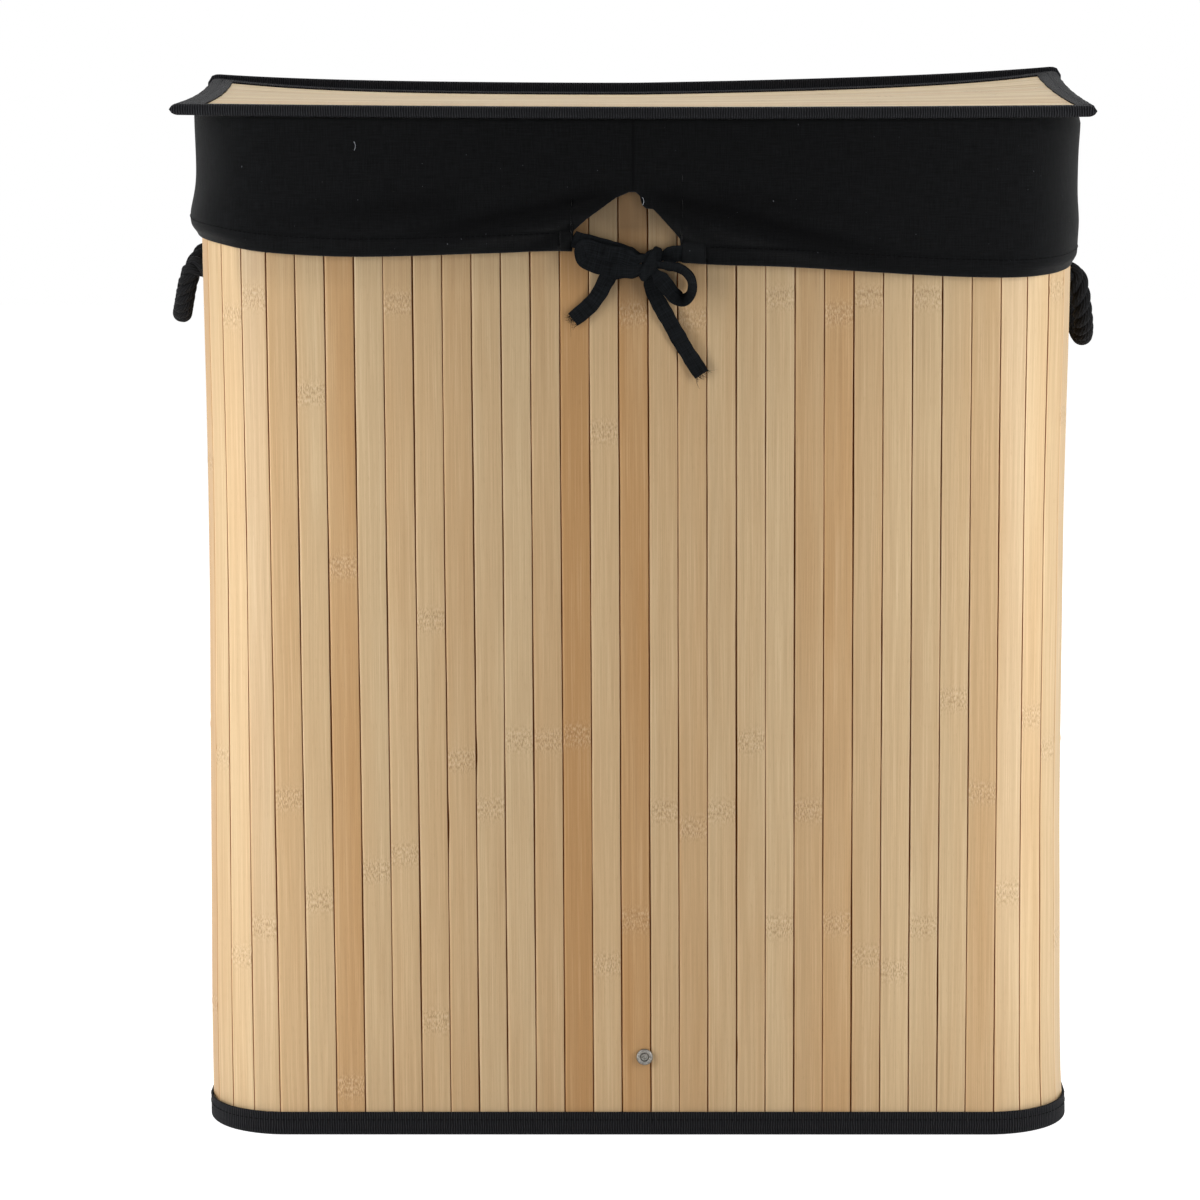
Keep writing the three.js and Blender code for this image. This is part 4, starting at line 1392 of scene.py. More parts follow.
        # lit: a painted highlight along each slat's left bevel
        lit = np.where(d < self.bevel / 2, 0.16 * bump(t, self.gap / 2 + self.bevel, 0.4 * MM), 0)
        depth = d + self.sink[numbers][:, None, None] - rise[:, :, None] * face
        across = t + self.shift[numbers][:, None, None] + wave[:, :, None]
        for number, height, reach, deep in self.nicks:
            split = (numbers == number)[:, None] * bump(z, height, reach) * deep
            across = across + split[:, :, None] * (t < 0.1 * self.pitch)
        start, along, out = (x[numbers][:, None, None] for x in (self.start, self.along, self.out))
        points = start + across[..., None] * along - depth[..., None] * out
        points[..., 2] = z[:, :, None]
        points = SETTLING.apply(points)
        u = np.concatenate([t, [self.pitch + self.thick]]) + numbers[:, None] * 3 * self.pitch
        tone, shade = (x[numbers][:, None, None] for x in (self.tone, self.shade))
        marks = {
            "tone": tone,
            # shade: each slat's own tone, times the painted bevel highlight, painted light and shade up the
            # slat, and the cuff's painted shadow
            "shade": shade * (1 + lit) * painted_light_and_shade[..., None] * self.painted_cuff_shade(points),
            "joint": mark[:, :, None] * face,
            "edge": np.clip(1.6 * d / self.bevel - 0.1, 0, 1),
        }
        return points, join(u[:, None], z[:, :, None]), marks

    def heights(self, numbers: Array) -> Array:
        """The heights of the rows: even steps, and more at the joints and under the cuff.

        Args:
            numbers: which slats.

        Returns:
            The heights [slat, row].
        """
        even = np.linspace(WALL_BOTTOM, WALL_TOP, self.rows)
        even = np.concatenate([even, np.linspace(*self.shaded_rows)])
        near = np.linspace(-self.joint_reach, self.joint_reach, self.joint_rows)
        near = (self.joints[numbers][:, :, None] + near).reshape(len(numbers), -1)
        z = np.concatenate([np.broadcast_to(even, (len(numbers), len(even))), near], 1)
        z = np.sort(np.clip(z, WALL_BOTTOM, WALL_TOP), 1)
        return z + np.linspace(0, 1e-6, z.shape[1])

    def painted_cuff_shade(self, points: Array) -> Array:
        """The painted shadow that the cuff and the bow cast on the front's slats: the share of colour they
        keep.

        It is one less three parts of painted shade: a bell across the slit that grows up it, a round bell
        below the bow, and a share that grows up to the hem.

        Args:
            points: the slats' points.

        Returns:
            The share that each keeps.
        """
        x, y, z = np.moveaxis(points, -1, 0)
        slit, middle, reach, *ends = self.slit_shade
        bow, bow_x, bow_wide, bow_z, bow_tall = self.bow_shade
        hem, *rise = self.hem_shade
        # painted shade: the shadow of the cuff and the bow, painted into the slats' colour
        lost = slit * bump(x, middle, reach) * smooth(z, *ends)
        lost = lost + bow * bump(x, bow_x, bow_wide) * bump(z, bow_z, bow_tall) + hem * smooth(z, *rise)
        return 1 - (y < -150 * MM) * np.clip(lost, 0, self.darkest)

    def backing(self, numbers: Array) -> Array:
        """The backing cloth behind some slats: its section, repeated from bottom to top.

        Args:
            numbers: which slats.

        Returns:
            The cloth's points [row, column].
        """
        depths = self.thick + SEAM / 2, WALL_THICK
        joints = self.start[numbers[1:]]
        bend = unit(self.out[numbers[1:]] + self.out[numbers[:-1]]) / math.cos(self.mitre / 2)
        ends = [(numbers[0], SEAM), (numbers[-1], self.pitch - SEAM)]
        rims = [[self.start[k] + self.along[k] * t - self.out[k] * d for k, t in ends] for d in depths]
        inner = [np.concatenate([[a], joints - bend * d, [b]]) for (a, b), d in zip(rims, depths)]
        loop = np.concatenate([inner[0], inner[1][::-1]])
        heights = np.linspace(WALL_BOTTOM, WALL_TOP, 60)[:, None] * np.array([0, 0, 1.0])
        return SETTLING.apply(loop[None] + heights[:, None])

    def build(self) -> None:
        """Makes the four walls and the four corners, each with its backing cloth."""
        first = 0
        for wall, corner, count in (("front", "front_right", self.long), ("right", "back_right", self.short),
                                    ("back", "back_left", self.long), ("left", "front_left", self.short)):
            for node, count in ((f"{wall}_slat_wall", count), (f"{corner}_corner_slats", self.turn)):
                numbers = np.arange(first, first + count)
                first += count
                slats = Shell(f"{node}_bamboo")
                points, uv, marks = self.slats(numbers)
                slats.grid(points, caps=True, uv=uv, marks=marks)
                slats.build(Body.HAMPER, Slot.BAMBOO, BAMBOO, (node,), sharp=50)
                cloth = Shell(f"{node}_backing")
                cloth.grid(self.backing(numbers), caps=True)
                cloth.build(Body.HAMPER, Slot.COTTON, BACKING, (node,))


# Tapes


def bind(name: str, line: Array, thick: float, step: float, node: str) -> Array:
    """Carries a tape's section round the outline.

    Args:
        name: the piece's name.
        line: the middle of its section, as (out from the slats' face, height).
        thick: its thickness.
        step: between two sections along the tape.
        node: the frame's node that it stands for.

    Returns:
        The sections' distances along the outline.
    """
    s = np.linspace(0, OUTLINE.length, round(OUTLINE.length / step), endpoint=False)
    loop = strip_loop(line, thick)
    tape = Shell(name)
    tape.grid(OUTLINE.place(s[:, None], loop[None, :, 0], loop[None, :, 1]), wrap=(True, True))
    tape.build(Body.HAMPER, Slot.TAPE, TAPE, (node,), sharp=60)
    return s


@dataclass
class BottomBinding:
    """Ribbed tape folded round the curtain's lower edge, sewn through near its top.

    Attributes:
        height: how far it goes up outside.
        inside: how far it goes up inside.
        thick: the tape's thickness.
        stitch_height: the height of the row of stitches.
        stitch_pitch: from stitch to stitch.
        step: between two sections along the tape.
    """

    height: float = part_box("bottom_binding")[1].z
    inside: float = 12 * MM
    thick: float = 1.2 * MM
    stitch_height: float = 9.8 * MM
    stitch_pitch: float = 3.4 * MM
    step: float = 2.5 * MM

    def line(self) -> Array:
        """The middle of the tape's section: up outside, round the bottom and up inside.

        Returns:
            The section's points, as (out from the slats' face, height).
        """
        outer = SEAM + self.thick / 2
        inner = -WALL_THICK - outer
        arc = np.linspace(0, math.pi, 11)
        across = (outer + inner) / 2 + (outer - inner) / 2 * np.cos(arc)
        turn = np.stack([across, self.thick / 2 + 1.6 * MM * (1 - np.sin(arc))], 1)
        down = [[outer + 0.15 * MM, self.height], [outer, self.height - 1 * MM],
                [outer - 0.1 * MM, self.stitch_height], [outer, 6.5 * MM]]
        return np.concatenate([down, turn, [[inner, self.inside]]])

    def build(self) -> None:
        """Carries the section round the outline, and sews it."""
        s = bind("bottom_tape", self.line(), self.thick, self.step, "bottom_binding")
        row = OUTLINE.place(s, SEAM + self.thick + 0.02 * MM, self.stitch_height)
        stitches = Shell("bottom_stitches")
        stitch_row(stitches, row, OUTLINE.out(s), self.stitch_pitch, 0.5 * MM)
        stitches.build(Body.HAMPER, Slot.TAPE, THREAD)


@dataclass
class RimBinding:
    """Ribbed tape folded over the curtain's upper edge, under the cuff.

    Attributes:
        thick: the tape's thickness.
        step: between two sections along the tape.
    """

    thick: float = 1.0 * MM
    step: float = 5 * MM

    def build(self) -> None:
        """Carries the fold round the outline."""
        low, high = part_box("rim_binding")
        outer = SEAM + self.thick / 2
        inner = -WALL_THICK - outer
        top, cut = high.z - self.thick / 2, 0.6 * MM
        line = np.array([[outer, low.z], [outer, top - cut], [outer - cut, top],
                         [inner + cut, top], [inner, top - cut], [inner, low.z]])
        bind("rim_tape", line, self.thick, self.step, "rim_binding")


# The liner


@dataclass
class Cuff:
    """The liner's top, turned out over the rim, with a slit at the front and a hem.

    Attributes:
        thick: the cloth's thickness.
        face: from the slats' face to the middle of the cloth.
        inner: from the slats' face to the middle of the cloth inside the rim.
        turn: the radius of the fold over the rim.
        hem: the hem's height.
        hem_swell: how much the doubled hem stands out.
        inside: how far the cuff goes down inside.
        edge: the lower edge's height above the floor by distance along the outline, both in
            millimetres, from the middle of the back round the left to the middle of the back.
        slit: the same along the slit's edge.
        peak: the height from which the folds fan out, in millimetres.
        seam: from where to where up the cuff its seam comes in.
        ends: how far the hem's two ends, folded over once more, reach from the middle.
        folds: the diagonal folds, each with the side, the slope, where it starts and ends, how
            wide it is and how deep, in millimetres but for the slope.
        bulges: how it stands out round the corners, each with the side, the height, how far up
            and down it reaches and how far it stands out, in millimetres.
        threads: white threads caught on the cloth, each with its place along the outline, its
            height, its length and how far it bends, in millimetres.
    """

    thick: float = 1.1 * MM
    face: float = 2.2 * MM
    inner: float = -5.2 * MM
    turn: float = 1.4 * MM
    hem: float = 10.5 * MM
    hem_swell: float = 0.7 * MM
    inside: float = 17 * MM
    edge: tuple[tuple[float, float], ...] = (
        (-790, 524), (-660, 524), (-520, 528), (-420, 541), (-345, 543), (-300, 540.5), (-264, 536.5),
        (-246, 534.5), (-213, 530.5), (-164, 528), (-78, 530), (-39, 531), (0, 527), (42, 523), (94, 521),
        (181, 515.4), (225, 514.4), (250, 515.4), (264, 516.8), (300, 520.6), (345, 524), (420, 527),
        (520, 526), (660, 524), (790, 524),
    )
    slit: tuple[tuple[float, float], ...] = (
        (-35.6, 531), (-34.9, 542.5), (-33, 544.5), (-27, 550), (-10, 562.5), (-2, 566), (2, 566),
        (4.6, 563.5), (6, 558), (8, 556.3), (12, 556), (15, 553), (25, 541.5), (28, 537.5), (28.8, 523.5),
    )
    peak: float = 566.0
    seam: tuple[float, float] = (560 * MM, 570 * MM)
    ends: tuple[float, float] = (-41.5 * MM, 41.5 * MM)
    folds: tuple[tuple[int, float, float, float, float, float], ...] = (
        (-1, 0.22, 2, 150, 7, 3.2), (-1, 0.6, 24, 82, 4.5, 1.6), (1, 0.27, 2, 180, 8, 3.4),
        (1, 0.6, 12, 60, 4.5, 1.4), (1, 0.1, 34, 150, 8, 1.2), (-1, 0.08, 90, 260, 10, 1.6),
    )
    bulges: tuple[tuple[int, float, float, float], ...] = (
        (-1, 549, 13, 3.2), (-1, 578, 16, -0.3), (1, 603, 14, 1.0), (1, 542, 14, 1.6),
    )
    threads: tuple[tuple[float, float, float, float], ...] = (
        (-160.8, 591.4, 5.0, 0.8), (5.7, 559.8, 4.6, 0.8),
    )

    def lower(self, s: Array) -> Array:
        """The lower edge's height: a smooth curve through its places, and the slit's in the slit.

        Args:
            s: distances along the outline.

        Returns:
            The heights.
        """
        fine = spline(np.array(self.edge) * MM, np.linspace(0, 1, 2000))
        slit = np.array(self.slit) * MM
        inside = (s > slit[0, 0]) & (s < slit[-1, 0])
        return np.where(inside, np.interp(s, *slit.T), np.interp(s, *fine.T))

    def stations(self) -> Array:
        """Distances along the outline for the columns, closer together at the slit and the seam.

        Returns:
            The distances, in order.
        """
        half = OUTLINE.length / 2
        left, right = self.slit[0][0], self.slit[-1][0]
        spans = [(left - 6, right + 6, 130), (left - 1.2, left + 1.4, 8), (right - 1.4, right + 1.2, 8),
                 *((k / MM - 0.8, k / MM + 0.8, 6) for k in self.ends), (-3, 3, 11)]
        close = [np.linspace(start, end, count) * MM for start, end, count in spans]
        even = np.linspace(-half, half, 420, endpoint=False)
        return np.unique(np.round(np.concatenate([even, *close]), 6))

    def fold_lines(self, s: Array, z: Array, start: float, tail: float) -> list[tuple]:
        """Where places lie against each diagonal fold, which slopes away from below the peak.

        Args:
            s: distances along the outline.
            z: heights.
            start: where the folds fan out from, in millimetres to the right of the middle.
            tail: from which share of its length on a fold dies away.

        Returns:
            For each fold, how far below its line the places lie, how much of it is there, its width
            and its depth, in millimetres.
        """
        lines = []
        for side, slope, begin, end, wide, deep in self.folds:
            away = side * (s / MM - start)
            there = within(away, (begin, begin + 25), (end * tail, end))
            lines.append((self.peak - z / MM - slope * away, there, wide, deep))
        return lines

    def hollows(self, s: Array, z: Array) -> Array:
        """Where the light hardly reaches: bells along the folds' lines, and one along the seam.

        Args:
            s: distances along the outline.
            z: heights.

        Returns:
            Shares from 0 to 1.
        """
        total = bump(s, 0.4 * MM, 0.9 * MM) * smooth(z, *self.seam)
        for under, there, wide, deep in self.fold_lines(s, z, 0.0, 0.45):
            total = total + bump(under, -0.1 * wide, 0.75 * wide) * there * min(1, deep / 3)
        return np.clip(total, 0, 1)

    def sway(self, s: Array, z: Array) -> Array:
        """How far the cloth stands off: diagonal folds, low waves and the flare at the corners.

        A fold is a bell across its line with a hollow above it. The waves are sines round the rim
        that grow towards the hem, and the creases are products of sines.

        Args:
            s: distances along the outline.
            z: heights.

        Returns:
            The distances outwards.
        """
        calm = smooth(np.abs(s), 45 * MM, 90 * MM)
        grown = np.clip((CUFF_TOP - z) / (84 * MM), 0, 1.2)
        wave = 0.55 * np.sin(s / (15 * MM)) + 0.45 * np.sin(s / (26 * MM) + z / (20 * MM))
        crease = np.sin(s / (4.1 * MM) + 3 * np.sin(s / (31 * MM))) * np.sin(z / (9 * MM) + s / (40 * MM))
        total = calm * (0.55 * grown * wave + 0.1 * crease)
        for under, there, wide, deep in self.fold_lines(s, z, 0.5, 0.5):
            total = total + deep * there * (bump(under, wide, wide) - 0.5 * bump(under, -0.6 * wide, wide))
        corner = within(np.abs(s), (210 * MM, 275 * MM), (420 * MM, 480 * MM))
        for side, height, reach, out in self.bulges:
            total = total + corner * (np.sign(s) == side) * bump(z, height * MM, reach * MM) * out
        seam = bump(s, 0.0, 0.8 * MM) * smooth(z, *self.seam)
        return (np.maximum(total, -0.35) - 0.12 * seam) * MM

    def cloth(self, s: Array) -> tuple[Array, Array]:
        """The cloth's middle: up inside the rim, over it, down outside and turned up in the hem.

        The hem stands out, and less so in the slit, with a groove at its seam. Round the corners it
        is tucked in.

        Args:
            s: distances along the outline.

        Returns:
            The distance out from the slats' face and the height, each [column, row].
        """
        s = s[:, None]
        bottom = self.lower(s)
        top = CUFF_TOP - self.thick / 2
        arc = np.linspace(0, math.pi / 2, 5)[1:]
        rising, level = self.turn * (1 - np.sin(arc)), self.turn * (1 - np.cos(arc))
        up = np.linspace(CUFF_TOP - self.inside, top - self.turn, 4)
        over_z = np.concatenate([top - rising, top - level])
        over = np.concatenate([self.inner + level, self.face - rising])
        down = np.concatenate([np.linspace(0, 0.8, 19)[1:], np.linspace(0.8, 1, 12)[1:]])
        z = over_z[-1] + (bottom - over_z[-1]) * down
        corner = within(np.abs(s), (200 * MM, 250 * MM), (440 * MM, 490 * MM))
        in_hem = smooth(bottom + self.hem - z, -(0.6 + 9 * corner) * MM, (0.8 + 4 * corner) * MM)
        whole = 1 - within(s, (-36.5 * MM, -35 * MM), (28.2 * MM, 29.4 * MM))
        left, right = self.ends
        end = within(s, (left - 0.4 * MM, left), (right, right + 0.4 * MM))
        swell = (self.hem_swell + 0.8 * MM * end) * in_hem * whole
        groove = 0.3 * MM * bump(z, bottom + self.hem, 0.7 * MM) * whole * (1 - 0.8 * corner)
        tuck = 2.6 * MM * corner * (1 - smooth(z - bottom, 0, 8 * MM)) ** 2
        off = self.face + self.sway(s, z) + swell - groove - tuck
        turn = np.linspace(0, math.pi, 6)[1:]
        fold = 0.75 * MM
        hem_off = off[:, -1:] - fold * (1 - np.cos(turn)) * (0.35 + 0.65 * whole)
        hem_z = bottom - 0.4 * fold * np.sin(turn)
        back_z = bottom + np.array([2.0, 6.0]) * MM * whole
        offs = [np.full(4, self.inner), over, off, hem_off, hem_off[:, [-1, -1]]]
        heights = [up, over_z, z, hem_z, back_z]
        offs, heights = (np.concatenate([np.broadcast_to(x, (len(s), x.shape[-1])) for x in parts], 1)
                         for parts in (offs, heights))
        return offs, heights

    def build(self) -> None:
        """Makes the cloth, its hem's stitches and the lint on it."""
        s = self.stations()
        off, z = self.cloth(s)
        steps = np.hypot(np.diff(off, axis=1, prepend=off[:, :1]), np.diff(z, axis=1, prepend=z[:, :1]))
        runs = np.cumsum(steps, 1)
        around = np.append(s, s[0] + OUTLINE.length)
        uv = join(around[:, None], np.concatenate([runs, runs[:1]]))
        right = self.ends[1]
        worn = within(s, (28.8 * MM, 29.4 * MM), (right - 0.4 * MM, right))[:, None]
        worn = worn * smooth(self.lower(s)[:, None] + self.hem - z, -1 * MM, 0)
        # hollow: painted shade in the folds and along the seam
        marks = {"worn": worn, "hollow": self.hollows(s[:, None], z)}
        shell = Shell("cuff_cloth")
        shell.grid(OUTLINE.place(s[:, None], off, z), wrap=(True, False), uv=uv, marks=marks)
        cloth = shell.build(Body.HAMPER, Slot.COTTON, COTTON, ("liner_cuff",), closed=False, sharp=70)
        thicken(cloth, self.thick)
        self.stitches()
        self.lint()

    def lint(self) -> None:
        """The threads caught on the cloth: thin tubes along a line bent as 1 - t^2."""
        shell = Shell("lint")
        t = np.linspace(-1, 1, 9)
        for place, height, tall, bend in np.array(self.threads) * MM:
            s, z = place + bend * (1 - t * t), height + tall / 2 * t
            off = self.face + self.sway(s, z) + self.thick / 2 + 0.3 * MM
            path = OUTLINE.place(s, off, z)
            shell.grid(carry(path, *frames(path, np.array([0.0, -1.0, 0.0])), ring(5, 0.17 * MM)), caps=True)
        shell.build(Body.HAMPER, Slot.COTTON, LINT)

    def stitches(self) -> Piece:
        """The row of stitches along the hem, from one folded end round to the other.

        Returns:
            The piece.
        """
        fine = np.arange(self.ends[1] + 2 * MM, OUTLINE.length + self.ends[0] - 1 * MM, 1 * MM)
        s = np.where(fine > OUTLINE.length / 2, fine - OUTLINE.length, fine)
        z = self.lower(s) + self.hem - 0.9 * MM
        off = self.face + self.sway(s, z) + self.hem_swell + self.thick / 2 - 0.05 * MM
        shell = Shell("hem_stitches")
        stitch_row(shell, OUTLINE.place(s, off, z), OUTLINE.out(s), 3.1 * MM, 0.42 * MM)
        return shell.build(Body.HAMPER, Slot.COTTON, THREAD)


@dataclass
class Bag:
    """One of the two bags: a wall round three sides, a floor and a divider, all of cloth.

    Attributes:
        hand: which side of the hamper it is on.
        thick: the cloth's thickness.
        inset: from the slats' face to the bag along a flat.
        corner_inset: the same at a corner, where the cloth hangs across.
        rim_inset: the same at its top.
        shoulder: how far below its top it starts to go out to the rim.
        corners: how far from the middle of the front the corners lie along the outline.
        knots: the same for the ropes' knots, with their height and how far in they push the cloth.
        rows: steps up the wall.
        slack: from the bag's cloth to its neighbours.
    """

    hand: Hand
    thick: float = 1.0 * MM
    inset: float = 9.0 * MM
    corner_inset: float = 25.5 * MM
    rim_inset: float = 5.3 * MM
    shoulder: float = 62 * MM
    corners: tuple[float, float] = (246 * MM, 560 * MM)
    knots: tuple[float, float, float, float] = (350 * MM, 452.5 * MM, 509 * MM, 13 * MM)
    rows: int = 60
    slack: float = 0.6 * MM

    def __post_init__(self) -> None:
        """Takes the bag's limits from the frame."""
        self.side = self.hand.name.lower()
        low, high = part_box(f"{self.side}_bag_wall")
        self.bottom, self.top = low.z, high.z
        self.middle = high.x if self.hand is Hand.LEFT else low.x
        low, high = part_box(f"{self.side}_bag_divider")
        self.divider = (low.x + high.x) / 2
        self.divider_top, self.divider_half = high.z, high.y

    def inset_at(self, s: Array, z: Array) -> Array:
        """How far in the wall hangs: drawn in across the corners and out to the rim at its top.

        Folds that run down the wall are sines along the outline, deeper at half height, and bells
        stand over the ropes' knots.

        Args:
            s: distances along the outline.
            z: heights.

        Returns:
            The distances inwards from the slats' face.
        """
        away = np.abs(s)
        corner = sum(bump(np.abs(away - at), 0.0, 40 * MM) for at in self.corners)
        low = self.inset + (self.corner_inset - self.inset) * np.clip(corner, 0, 1)
        hang = np.sin(np.clip((z - self.bottom) / (self.top - self.bottom), 0, 1) * math.pi)
        fold = 1.5 * np.sin(s / (17 * MM) + 1.3 * np.sin(z / (90 * MM)))
        fold = fold + 0.8 * np.sin(s / (7.3 * MM) + z / (70 * MM))
        crease = 0.5 * np.sin(z / (13 * MM) + s / (21 * MM)) * np.sin(s / (33 * MM))
        *places, height, push = self.knots
        knots = sum(bump(away, at, 19 * MM) for at in places) * bump(z, height, 20 * MM) * push
        rim = (self.rim_inset - low) * smooth(z, self.top - self.shoulder, self.top)
        return low + rim + MM * hang * (fold * (0.35 + 0.65 * corner) + crease) + knots

    def sewn(self, name: str, node: str, points: Array, thick: float) -> Piece:
        """Makes one of the bag's panels.

        Args:
            name: the piece's name after its side.
            node: the frame's node after its side.
            points: the cloth's middle [row, column].
            thick: its thickness.

        Returns:
            The panel.
        """
        shell = Shell(f"{self.side}_{name}")
        shell.grid(points, wrap=(False, False))
        nodes = (f"{self.side}_{node}",)
        cloth = shell.build(Body.HAMPER, Slot.COTTON, COTTON, nodes, closed=False, sharp=70)
        thicken(cloth, thick)
        return cloth

    def build(self) -> None:
        """Makes the wall, the floor and the divider."""
        half, edge = OUTLINE.length / 2, abs(self.middle) + self.slack
        s = np.linspace(edge, half - edge, 230) * self.hand.value
        z = np.linspace(self.bottom, self.top, self.rows)
        points = OUTLINE.place(s[:, None], -self.inset_at(s[:, None], z[None]), z[None])
        cloth = self.sewn("bag_cloth", "bag_wall", points, self.thick)
        self.floor(s, points[:, 0])
        self.hang_divider()

    def floor(self, s: Array, rim: Array) -> None:
        """The floor: the wall's lower edge drawn in towards the middle, with a shallow ripple.

        Args:
            s: the wall's distances along the outline.
            rim: its lower edge.
        """
        share = np.linspace(0, 1, 26)[:, None, None]
        middle = self.middle + self.hand.value * self.slack
        straight = np.stack([np.full(len(s), middle), rim[:, 1], rim[:, 2]], 1)
        points = (rim - OUTLINE.out(s) * 1.2 * MM) * (1 - share) + straight * share
        x, y = points[..., 0], points[..., 1]
        ripple = np.sin(x / (19 * MM)) * np.sin(y / (27 * MM) + x / (60 * MM))
        rise = 0.45 * MM * (1 + ripple) * np.sin(share[..., 0] * math.pi)
        points[..., 2] = self.bottom + self.thick / 2 + rise
        cloth = self.sewn("bag_base", "bag_floor", points, self.thick * 0.9)

    def hang_divider(self) -> None:
        """The divider: a cloth from front to back whose top edge sags, with a doubled hem."""
        share_y, share_z = np.linspace(-1, 1, 80)[:, None], np.linspace(0, 1, 60)[None]
        top = self.divider_top - 9 * MM * (1 - share_y**2)
        z = self.bottom + (top - self.bottom) * share_z
        y = share_y * (HALF_DEPTH - self.inset - 0.8 * MM)
        slack = np.sin(share_z * math.pi) * (1 - share_y**2)
        wave = 1.1 + 0.9 * np.sin(y / (23 * MM) + z / (60 * MM)) + 0.5 * np.sin(z / (17 * MM))
        hem = 0.35 * smooth(z, top - 12.5 * MM, top - 11.5 * MM)
        x = self.divider + self.hand.value * MM * (slack * wave + hem)
        cloth = self.sewn("divider_cloth", "bag_divider", join(x, y, z), self.thick * 0.9)


# The drawstring


@dataclass
class Bow:
    """The drawstring of flat cotton tape, tied in a bow at the slit.

    A route's points are (x, height above the knot, distance in front of the slats), in millimetres,
    and the tape's tilt at each point is in degrees: 0 where it faces the front.

    Attributes:
        width: the tape's width.
        thick: its thickness.
        longest: the longest loose thread at a tail's end, in millimetres.
        drawn: how far from the knot along x, y and z the tape is drawn together, in millimetres.
        left: the route from the left end of the hem through the knot, the loop and the tail.
        right: the same from the right end of the hem.
    """

    width: float = 9.5 * MM
    thick: float = 1.1 * MM
    longest: float = 8.0
    drawn: tuple[float, float, float] = (8.4, 6.0, 9.0)
    left: tuple[tuple[float, float, float, float], ...] = (
        (-35.2, 14.0, 3.4, 0), (-33.6, 13.0, 3.7, 5), (-22, 10.2, 3.5, 8), (-12, 7.2, 3.1, 10),
        (-3, 4.4, 2.9, 0), (7, 1.8, 2.8, 0), (12.6, 1.0, 3.4, 0), (12.4, 2.2, 4.8, 0), (6.5, 2.0, 5.2, 0),
        (0.6, 1.4, 6.1, 5), (-6, 3.4, 6.4, 15), (-17, 5.6, 6.2, 12), (-27, 8.2, 6.0, 5),
        (-29.0, 7.4, 5.9, 0), (-29.0, 3.6, 5.8, 0), (-27.4, 0.8, 5.8, -8), (-17, -3.0, 6.0, -10),
        (-8, -4.6, 6.3, -8), (0.6, -4.4, 6.1, 0), (6.5, -3.8, 5.2, 0), (12, -5.0, 3.6, 0),
        (8, -5.2, 1.9, 0), (0, -5.4, 1.5, 0), (-7, -5.4, 1.3, 0), (-12.4, -7.0, 1.3, 0),
        (-15.8, -11.4, 1.3, 0), (-19, -17.6, 1.3, 5), (-24, -24.4, 1.3, 5), (-29.4, -29.4, 1.3, 5),
        (-35, -33.8, 1.3, 0),
    )
    right: tuple[tuple[float, float, float, float], ...] = (
        (31.4, 4.6, 2.9, 0), (29.6, 4.5, 3.0, 0), (25, 4.4, 3.0, -10), (20, 3.6, 2.8, -15),
        (16.4, 2.6, 2.8, 0), (12, 1.2, 2.8, 0), (7.4, 0.4, 3.4, 0), (9.4, -0.6, 4.8, 0),
        (15, -1.8, 5.2, 30), (21, -2.4, 5.8, 52), (27.4, -3.9, 5.8, 57), (32.4, -7.6, 5.6, 58),
        (34.6, -13, 5.4, 60), (33.6, -19, 5.4, 58), (29.4, -22.4, 5.4, 50), (24.3, -20, 5.6, 28),
        (19, -13.4, 5.6, 14), (14.6, -8.2, 5.4, 10), (11.0, -4.2, 4.6, 0), (10.2, -3.6, 3.9, 0),
        (10.6, -11.4, 3.4, 0), (13.0, -20, 2.3, 0), (20.0, -33, 1.5, 6), (29.6, -50, 1.4, 10),
        (39.8, -66, 1.5, 0),
    )

    def __post_init__(self) -> None:
        """Takes the knot's place from the frame."""
        low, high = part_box("bow_knot")
        self.low, self.high = np.array(low), np.array(high)
        self.knot = (self.low + self.high) / 2

    def ribbon(self, side: str, route: tuple, nodes: tuple[str, ...]) -> None:
        """One half of the bow: a thin section with round edges carried along the route.

        The section turns about the route by its tilt, narrows where it is drawn together in the
        knot, and cups a little across.

        Args:
            side: the piece's side, for its name.
            route: its points.
            nodes: the frame's nodes that it stands for.
        """
        x, up, off, tilt = np.array(route).T
        points = np.stack([x * MM, -HALF_DEPTH - off * MM, self.knot[2] + up * MM, np.radians(tilt)], 1)
        path = even_path(points, 0.9 * MM)
        path, tilt = path[:, :3], path[:, 3:]
        first, second = frames(path, np.array([0.0, -1.0, 0.0]))
        first, second = (np.cos(tilt) * first + np.sin(tilt) * second,
                         np.cos(tilt) * second - np.sin(tilt) * first)
        at = np.linspace(0, 1, len(path))
        length = float(travelled(path)[-1])
        from_knot = np.linalg.norm((path - self.knot) / np.array(self.drawn) / MM, axis=1)
        wide = self.width / 2 * (0.52 + 0.48 * smooth(from_knot, 0.75, 1.5))
        wide = wide * (1 + 0.03 * np.sin(at * 61) + 0.02 * np.sin(at * 143))
        side_way = np.array([-1, -0.985, -0.6, 0, 0.6, 0.985])
        across = np.concatenate([side_way, -side_way])
        over = np.array([0, 0.5, 0.5, 0.5, 0.5, 0.5, 0, -0.5, -0.5, -0.5, -0.5, -0.5]) * self.thick
        ripple = np.sin(at[:, None] * length / (3.7 * MM) + across * 1.4)
        cup = 0.28 * MM * (across**2 - 0.4) + 0.16 * MM * ripple
        shell = Shell(f"{side}_bow_tape")
        shell.grid(carry(path, first, second, np.stack([over + cup, wide[:, None] * across], -1)), caps=True)
        tape = shell.build(Body.HAMPER, Slot.STRING, STRING, nodes, sharp=60)
        frayed = self.fray(side, path, first, second)

